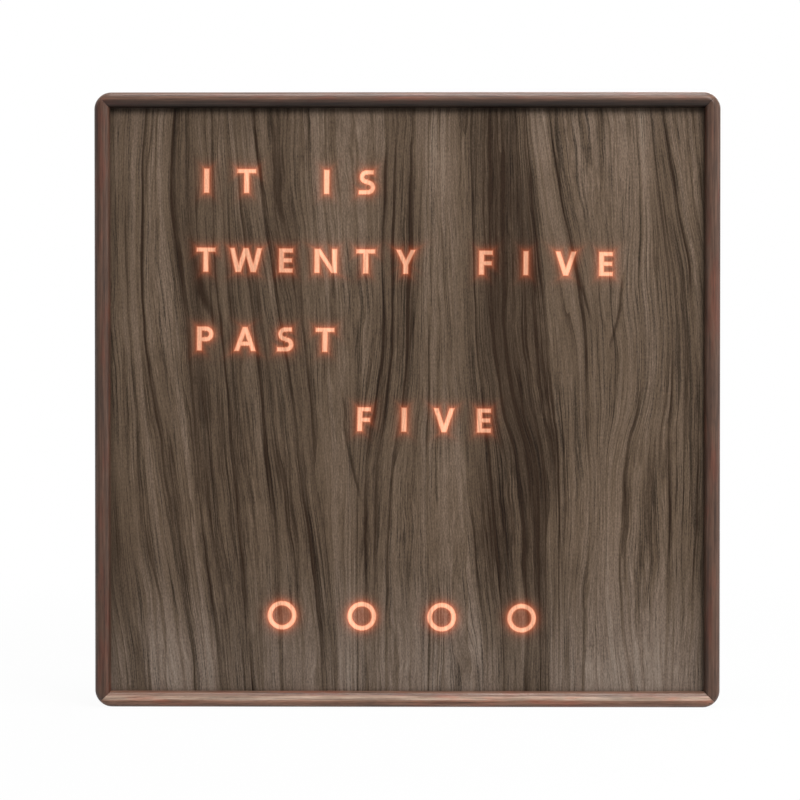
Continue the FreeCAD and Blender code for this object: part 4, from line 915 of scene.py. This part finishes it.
# %% Screws
def screw_model(head_radius, head_height, shank_radius, length):
    """One screw in millimetres, whose head sits on y = 0 and looks to +y."""
    piece = rod(head_radius, 0.0, head_height, 0.0, 0.0)
    pick("edges", lambda e: all(close_to(v.co.y, head_height * MM) for v in e.verts))
    bpy.ops.mesh.bevel(offset=head_height * 0.75 * MM, segments=6, affect="EDGES")
    pick("faces", lambda f: f.normal.y < -0.9)
    bpy.ops.mesh.inset(thickness=(head_radius - shank_radius) * MM)
    point = shank_radius * 1.4
    for reach in (length - point, point):
        bpy.ops.mesh.extrude_region_move(TRANSFORM_OT_translate={"value": (0, -reach * MM, 0)})
    bpy.ops.transform.resize(value=(0.15, 1, 0.15), center_override=(0, 0, 0))
    for width, height in ((1.05, 0.24), (0.24, 1.05)):
        wedge = slab("wedge", 0, 0, width * head_radius, height * head_radius,
                     head_height * 0.35, head_height * 1.4)
        pick("faces", lambda f: f.normal.y < -0.9)
        bpy.ops.transform.resize(value=(0.55, 1, 0.55), center_override=(0, 0, 0))
        cut(piece, wedge)
    return piece


def place_screws(name, node, spots, seat_y, sizes, finish):
    """Copies of one screw on the spots, joined into the piece that stands for a node."""
    first = screw_model(*sizes)
    copies = []
    for number, (x, z) in enumerate(spots):
        copy = bpy.data.objects.new(f"{name}_{number}", first.data.copy())
        turn = Matrix.Rotation(0.4 + number * 1.1, 4, "Y")
        copy.data.transform(Matrix.Translation(Vector((x, seat_y, z)) * MM) @ turn)
        bpy.context.scene.collection.objects.link(copy)
        copies.append(copy)
    bpy.data.objects.remove(first, do_unlink=True)
    bpy.ops.object.select_all(action="DESELECT")
    for copy in copies:
        copy.select_set(True)
    bpy.context.view_layer.objects.active = copies[0]
    bpy.ops.object.join()
    copies[0].name = name
    bpy.ops.object.mode_set(mode="EDIT")
    settle(copies[0], node, finish)


COVER_SPOTS = [(x, z) for z in (12.5, 282.5) for x in (-118.5, 0.0, 118.5)] + [(-137.5, 147.5), (137.5, 147.5)]
STANDOFF_SPOTS = [(x, z) for x in (-31.0, 31.0) for z in (46.5, 88.5)]
PLATE_SPOTS = [(x, HANGER_Z + rise) for x in HANGER_PLACES.values() for rise in (-18.0, 18.0)]
SMALL_HEAD = (2.6, 1.4, 1.5)
print("screws:", len(COVER_SPOTS) + len(STANDOFF_SPOTS) + len(PLATE_SPOTS))

# %% [markdown]
# The rails are solid walnut with a satin oil finish, redder than the veneer. Grain runs along each rail, so the
# same recipe is used twice with its axes swapped. A band of painted highlight and shade runs along each rail.

# %% Oil the rails
def walnut(name, along, tint, painted_light_stripe=None):
    """Solid walnut whose grain runs along x or z, with painted highlight and shade in a band across the rail."""
    wood = Finish(name, roughness=0.4, specular=0.3)
    length, breadth = (wood.x, wood.z) if along == "x" else (wood.z, wood.x)
    wave = cloud(joined(length * 0.012, wood.y * 0.03, breadth * 0.05), 1.0, 2.0) * 9.0
    ring_place = breadth * 0.9 + wood.y * 0.35 + wave
    rings = ((ring_place * 0.35).fraction() * -3.0).exp()
    streak = cloud(joined(length * 0.03, wood.y * 0.9, breadth * 1.2), 1.0, 3.0, 0.6)
    fibres = cloud(joined(length * 0.11, wood.y * 3.0, breadth * 3.0), 1.0, 3.0, 0.6)
    pores = cloud(joined(length * 0.28, wood.y * 4.5, breadth * 4.5), 1.0, 1.0).step(0.62, 0.72)
    shade = streak * 1.2 + fibres * 0.7 - rings * 0.22 - pores * 0.18 - 0.37
    stops = [(place, tuple(c * tint for c in colour)) for place, colour in [
        (0.1, (0.030, 0.014, 0.009)), (0.45, (0.086, 0.043, 0.027)), (0.85, (0.160, 0.086, 0.058))]]
    patches = cloud(joined(length * 0.035, wood.y * 0.1, breadth * 0.16), 1.0, 3.0, 0.6)
    colour = shade.ramp(stops)
    colour = colour.with_colour(patches.step(0.48, 0.66), (1.16, 0.86, 0.82, 1.0), "MULTIPLY")
    colour = colour.with_colour(patches.step(0.46, 0.30), (0.80, 0.86, 0.90, 1.0), "MULTIPLY")
    # Painted highlight and shade across the rail, by depth from its outer edge.
    if painted_light_stripe:
        edge, inward, painted_light_tones = painted_light_stripe
        depth = (breadth - edge) * (inward / 8.0) + wave * 0.008
        colour = colour.with_colour(1.0, depth.ramp(painted_light_tones), "MULTIPLY")
    wood.feed("Base Color", colour)
    wood.feed("Roughness", shade.step(0.1, 0.9, 0.46, 0.34))
    wood.bump(fibres - pores, 0.06, 0.5)
    return wood


# For each rail: its grain; its tint, partly the board's own tone and partly painted light; its outer edge in
# millimetres; the way in from there; and how light the rail is painted at fractions of 8 mm across it. That last is
# painted highlight and shade following the light over its rounded profile.
RAIL_WOOD_AND_PAINTED_LIGHT = {
    "top": ("x", 1.15, case_high.z / MM, -1, [(0.0, 1.0), (0.12, 1.0), (0.22, 0.7), (0.36, 1.1), (0.48, 0.8), (0.58, 0.4), (0.9, 0.12)]),
    "bottom": ("x", 4.2, case_low.z / MM, 1,
               [(0.0, 0.43), (0.3, 0.48), (0.43, 0.6), (0.55, (1.0, 1.4, 1.65)), (0.68, (0.8, 1.05, 1.2)), (0.78, 0.36), (0.9, 0.34)]),
    "left": ("z", 0.85, case_low.x / MM, 1, [(0.0, 0.9), (0.5, 1.0), (0.9, 0.9)]),
    "right": ("z", 1.0, case_high.x / MM, -1, [(0.0, 1.1), (0.6, 0.9), (0.9, 0.6)]),
}
for name, (along, tint, edge, inward, painted_light_tones) in RAIL_WOOD_AND_PAINTED_LIGHT.items():
    wood = walnut(f"walnut_oiled_{name}", along, tint, (edge, inward, painted_light_tones))
    rails[f"walnut_rail_{name}"].data.materials.clear()
    rails[f"walnut_rail_{name}"].data.materials.append(wood.material)
dress(["corner_splines", "cleat_top", "cleat_bottom", "cleat_left", "cleat_right"], walnut("strip_wood", "z", 1.4))
block_wood = walnut("block_wood", "x", 1.0)
for side, pad in blocks.items():
    settle(pad, f"hanger_block_{side}", block_wood)

# %% [markdown]
# The parts inside and behind are plastic, sheet metal and circuit board. Each is one of three
# recipes: a moulded or painted surface with a fine texture, a metal with brushing and faint
# stains, and a board with copper tracks under green lacquer.

# %% Plastic, metal and board recipes
def moulded(name, colour, roughness=0.5, texture=2.5, depth=0.02, mottle=0.12, specular=0.5):
    """Moulded or painted plastic: fine texture and slight mottling."""
    skin = Finish(name, specular=specular)
    broad = cloud(skin.at, 0.08, 3.0, 0.6)
    fine = cloud(skin.at, texture, 2.0, 0.6)
    dark = tuple(c * (1 - mottle) for c in colour)
    light = tuple(min(1.0, c * (1 + mottle)) for c in colour)
    skin.feed("Base Color", (broad * 0.7 + fine * 0.3).ramp([(0.3, dark), (0.7, light)]))
    skin.feed("Roughness", fine.step(0.3, 0.7, roughness - 0.06, roughness + 0.06))
    skin.bump(fine, depth, 0.6)
    return skin


def metal(name, colour, roughness=0.35, brush=(0.2, 6.0, 6.0), mottle=0.15):
    """Bare or plated metal with brushing along one axis."""
    skin = Finish(name, metallic=1.0)
    lines = cloud(joined(skin.x * brush[0], skin.y * brush[1], skin.z * brush[2]), 1.0, 3.0, 0.6)
    stain = cloud(skin.at, 0.15, 3.0, 0.6)
    dark = tuple(c * (1 - mottle) for c in colour)
    skin.feed("Base Color", (lines * 0.5 + stain * 0.5).ramp([(0.35, dark), (0.65, colour)]))
    skin.feed("Roughness", (lines + stain * 0.6).step(0.5, 1.1, roughness - 0.08, roughness + 0.12))
    skin.bump(lines, 0.01, 0.5)
    return skin


def hardboard(name):
    """Pressed wood fibre stained black, with pale flecks that lie both ways and a broad mottle."""
    skin = Finish(name, specular=0.35)
    broad = cloud(skin.at, 0.025, 3.0, 0.6)
    level = cloud(joined(skin.x * 0.30, skin.y, skin.z * 1.3), 1.0, 3.0, 0.65)
    upright = cloud(joined(skin.x * 1.3, skin.y, skin.z * 0.30), 1.0, 3.0, 0.65)
    flecks = level.most(upright)
    tone = flecks * 1.1 + broad * 0.5 - 0.38
    skin.feed("Base Color", tone.ramp([(0.2, (0.010, 0.009, 0.008)), (0.5, (0.024, 0.020, 0.017)),
                                       (0.8, (0.070, 0.054, 0.041))]))
    skin.feed("Roughness", flecks.step(0.4, 0.8, 0.66, 0.48))
    skin.bump(flecks, 0.06, 0.6)
    return skin


def circuit(name):
    """Green lacquer over a net of copper tracks."""
    skin = Finish(name, roughness=0.3)
    cell_x = (skin.x * 0.4).fraction()
    cell_z = (skin.z * 0.4).fraction()
    pick_way = cloud(joined((skin.x * 0.1).math("FLOOR", skin.x * 0.1), 0.0, (skin.z * 0.1).math("FLOOR", skin.z * 0.1)), 1.7)
    upright = (abs(cell_x - 0.5) - 0.14).step(0.0, 0.03, 1.0, 0.0)
    level = (abs(cell_z - 0.5) - 0.14).step(0.0, 0.03, 1.0, 0.0)
    way = pick_way.step(0.48, 0.5)
    track = upright * way + level * (1.0 - way)
    haze_field = cloud(skin.at, 0.2, 2.0)
    lacquer = haze_field.ramp([(0.3, (0.010, 0.060, 0.030)), (0.7, (0.016, 0.085, 0.042))])
    skin.feed("Base Color", lacquer.with_colour(track * 0.6, (0.045, 0.170, 0.075, 1.0)))
    skin.feed("Roughness", track.step(0.0, 1.0, 0.34, 0.26))
    skin.bump(track, 0.03, 0.6)
    return skin


settle(cover, "back_cover", hardboard("cover_stain"))
dress(["light_baffle"], moulded("baffle_paint", (0.015, 0.015, 0.015), 0.7, 1.8, 0.05))
dress(["letter_mask"], moulded("mask_film", (0.012, 0.012, 0.013), 0.45, 3.0, 0.01))
dress(["diffuser_sheet"], moulded("opal_acrylic", (0.85, 0.84, 0.80), 0.5, 1.0, 0.01, 0.03))
dress(["led_board", "control_board"], circuit("board_green"))
dress(["led_housings"], moulded("lamp_white", (0.78, 0.77, 0.73), 0.4, 3.0, 0.01, 0.04))
dress(["led_lenses"], moulded("lamp_lens", (0.85, 0.62, 0.20), 0.25, 3.0, 0.01, 0.06))
dress(["processor_chip", "clock_chip"], moulded("chip_black", (0.022, 0.022, 0.024), 0.55, 4.0, 0.02))
dress(["cell_holder"], moulded("holder_black", (0.020, 0.020, 0.021), 0.4, 3.0, 0.02))
dress(["led_connector", "board_connector"], moulded("connector_white", (0.72, 0.70, 0.64), 0.4, 3.0, 0.02, 0.05))
dress(["ribbon_cable"], moulded("ribbon_grey", (0.42, 0.43, 0.45), 0.45, 2.0, 0.02, 0.06))
dress(["switch_bodies", "power_jack"], moulded("switch_black", (0.022, 0.022, 0.023), 0.42, 3.0, 0.02))
plungers = ["set_plunger", "plus_plunger", "minus_plunger"]
dress(plungers, moulded("plunger_black", (0.030, 0.030, 0.032), 0.38, 3.0, 0.02))
caps = ["set_button", "plus_button", "minus_button"]
dress(caps, moulded("cap_black", (0.028, 0.028, 0.030), 0.42, 3.0, 0.02))
screw_zinc = metal("screw_zinc", (0.56, 0.55, 0.52), 0.30, (1.5, 6.0, 6.0), 0.3)
dress(["led_board_screws", "control_board_screws"], screw_zinc)
place_screws("cover_screws", "back_cover_screws", COVER_SPOTS, COVER_REAR, (3.0, 1.7, 1.6, 11.0), screw_zinc)
place_screws("board_screws", "standoff_screws", STANDOFF_SPOTS, COVER_REAR, (*SMALL_HEAD, 8.0), screw_zinc)
place_screws("plate_screws", "hanger_plate_screws", PLATE_SPOTS, PLATE_REAR, (*SMALL_HEAD, 6.0), screw_zinc)
dress(["coin_cell", "jack_pin"], metal("cell_steel", (0.70, 0.70, 0.69), 0.24))
dress(["standoffs"], metal("standoff_brass", (0.78, 0.58, 0.28), 0.28))
plate_zinc = metal("plate_zinc", (0.50, 0.51, 0.52), 0.36, (0.3, 5.0, 5.0), 0.35)
for side, plate in plates.items():
    settle(plate, f"hanger_plate_{side}", plate_zinc)
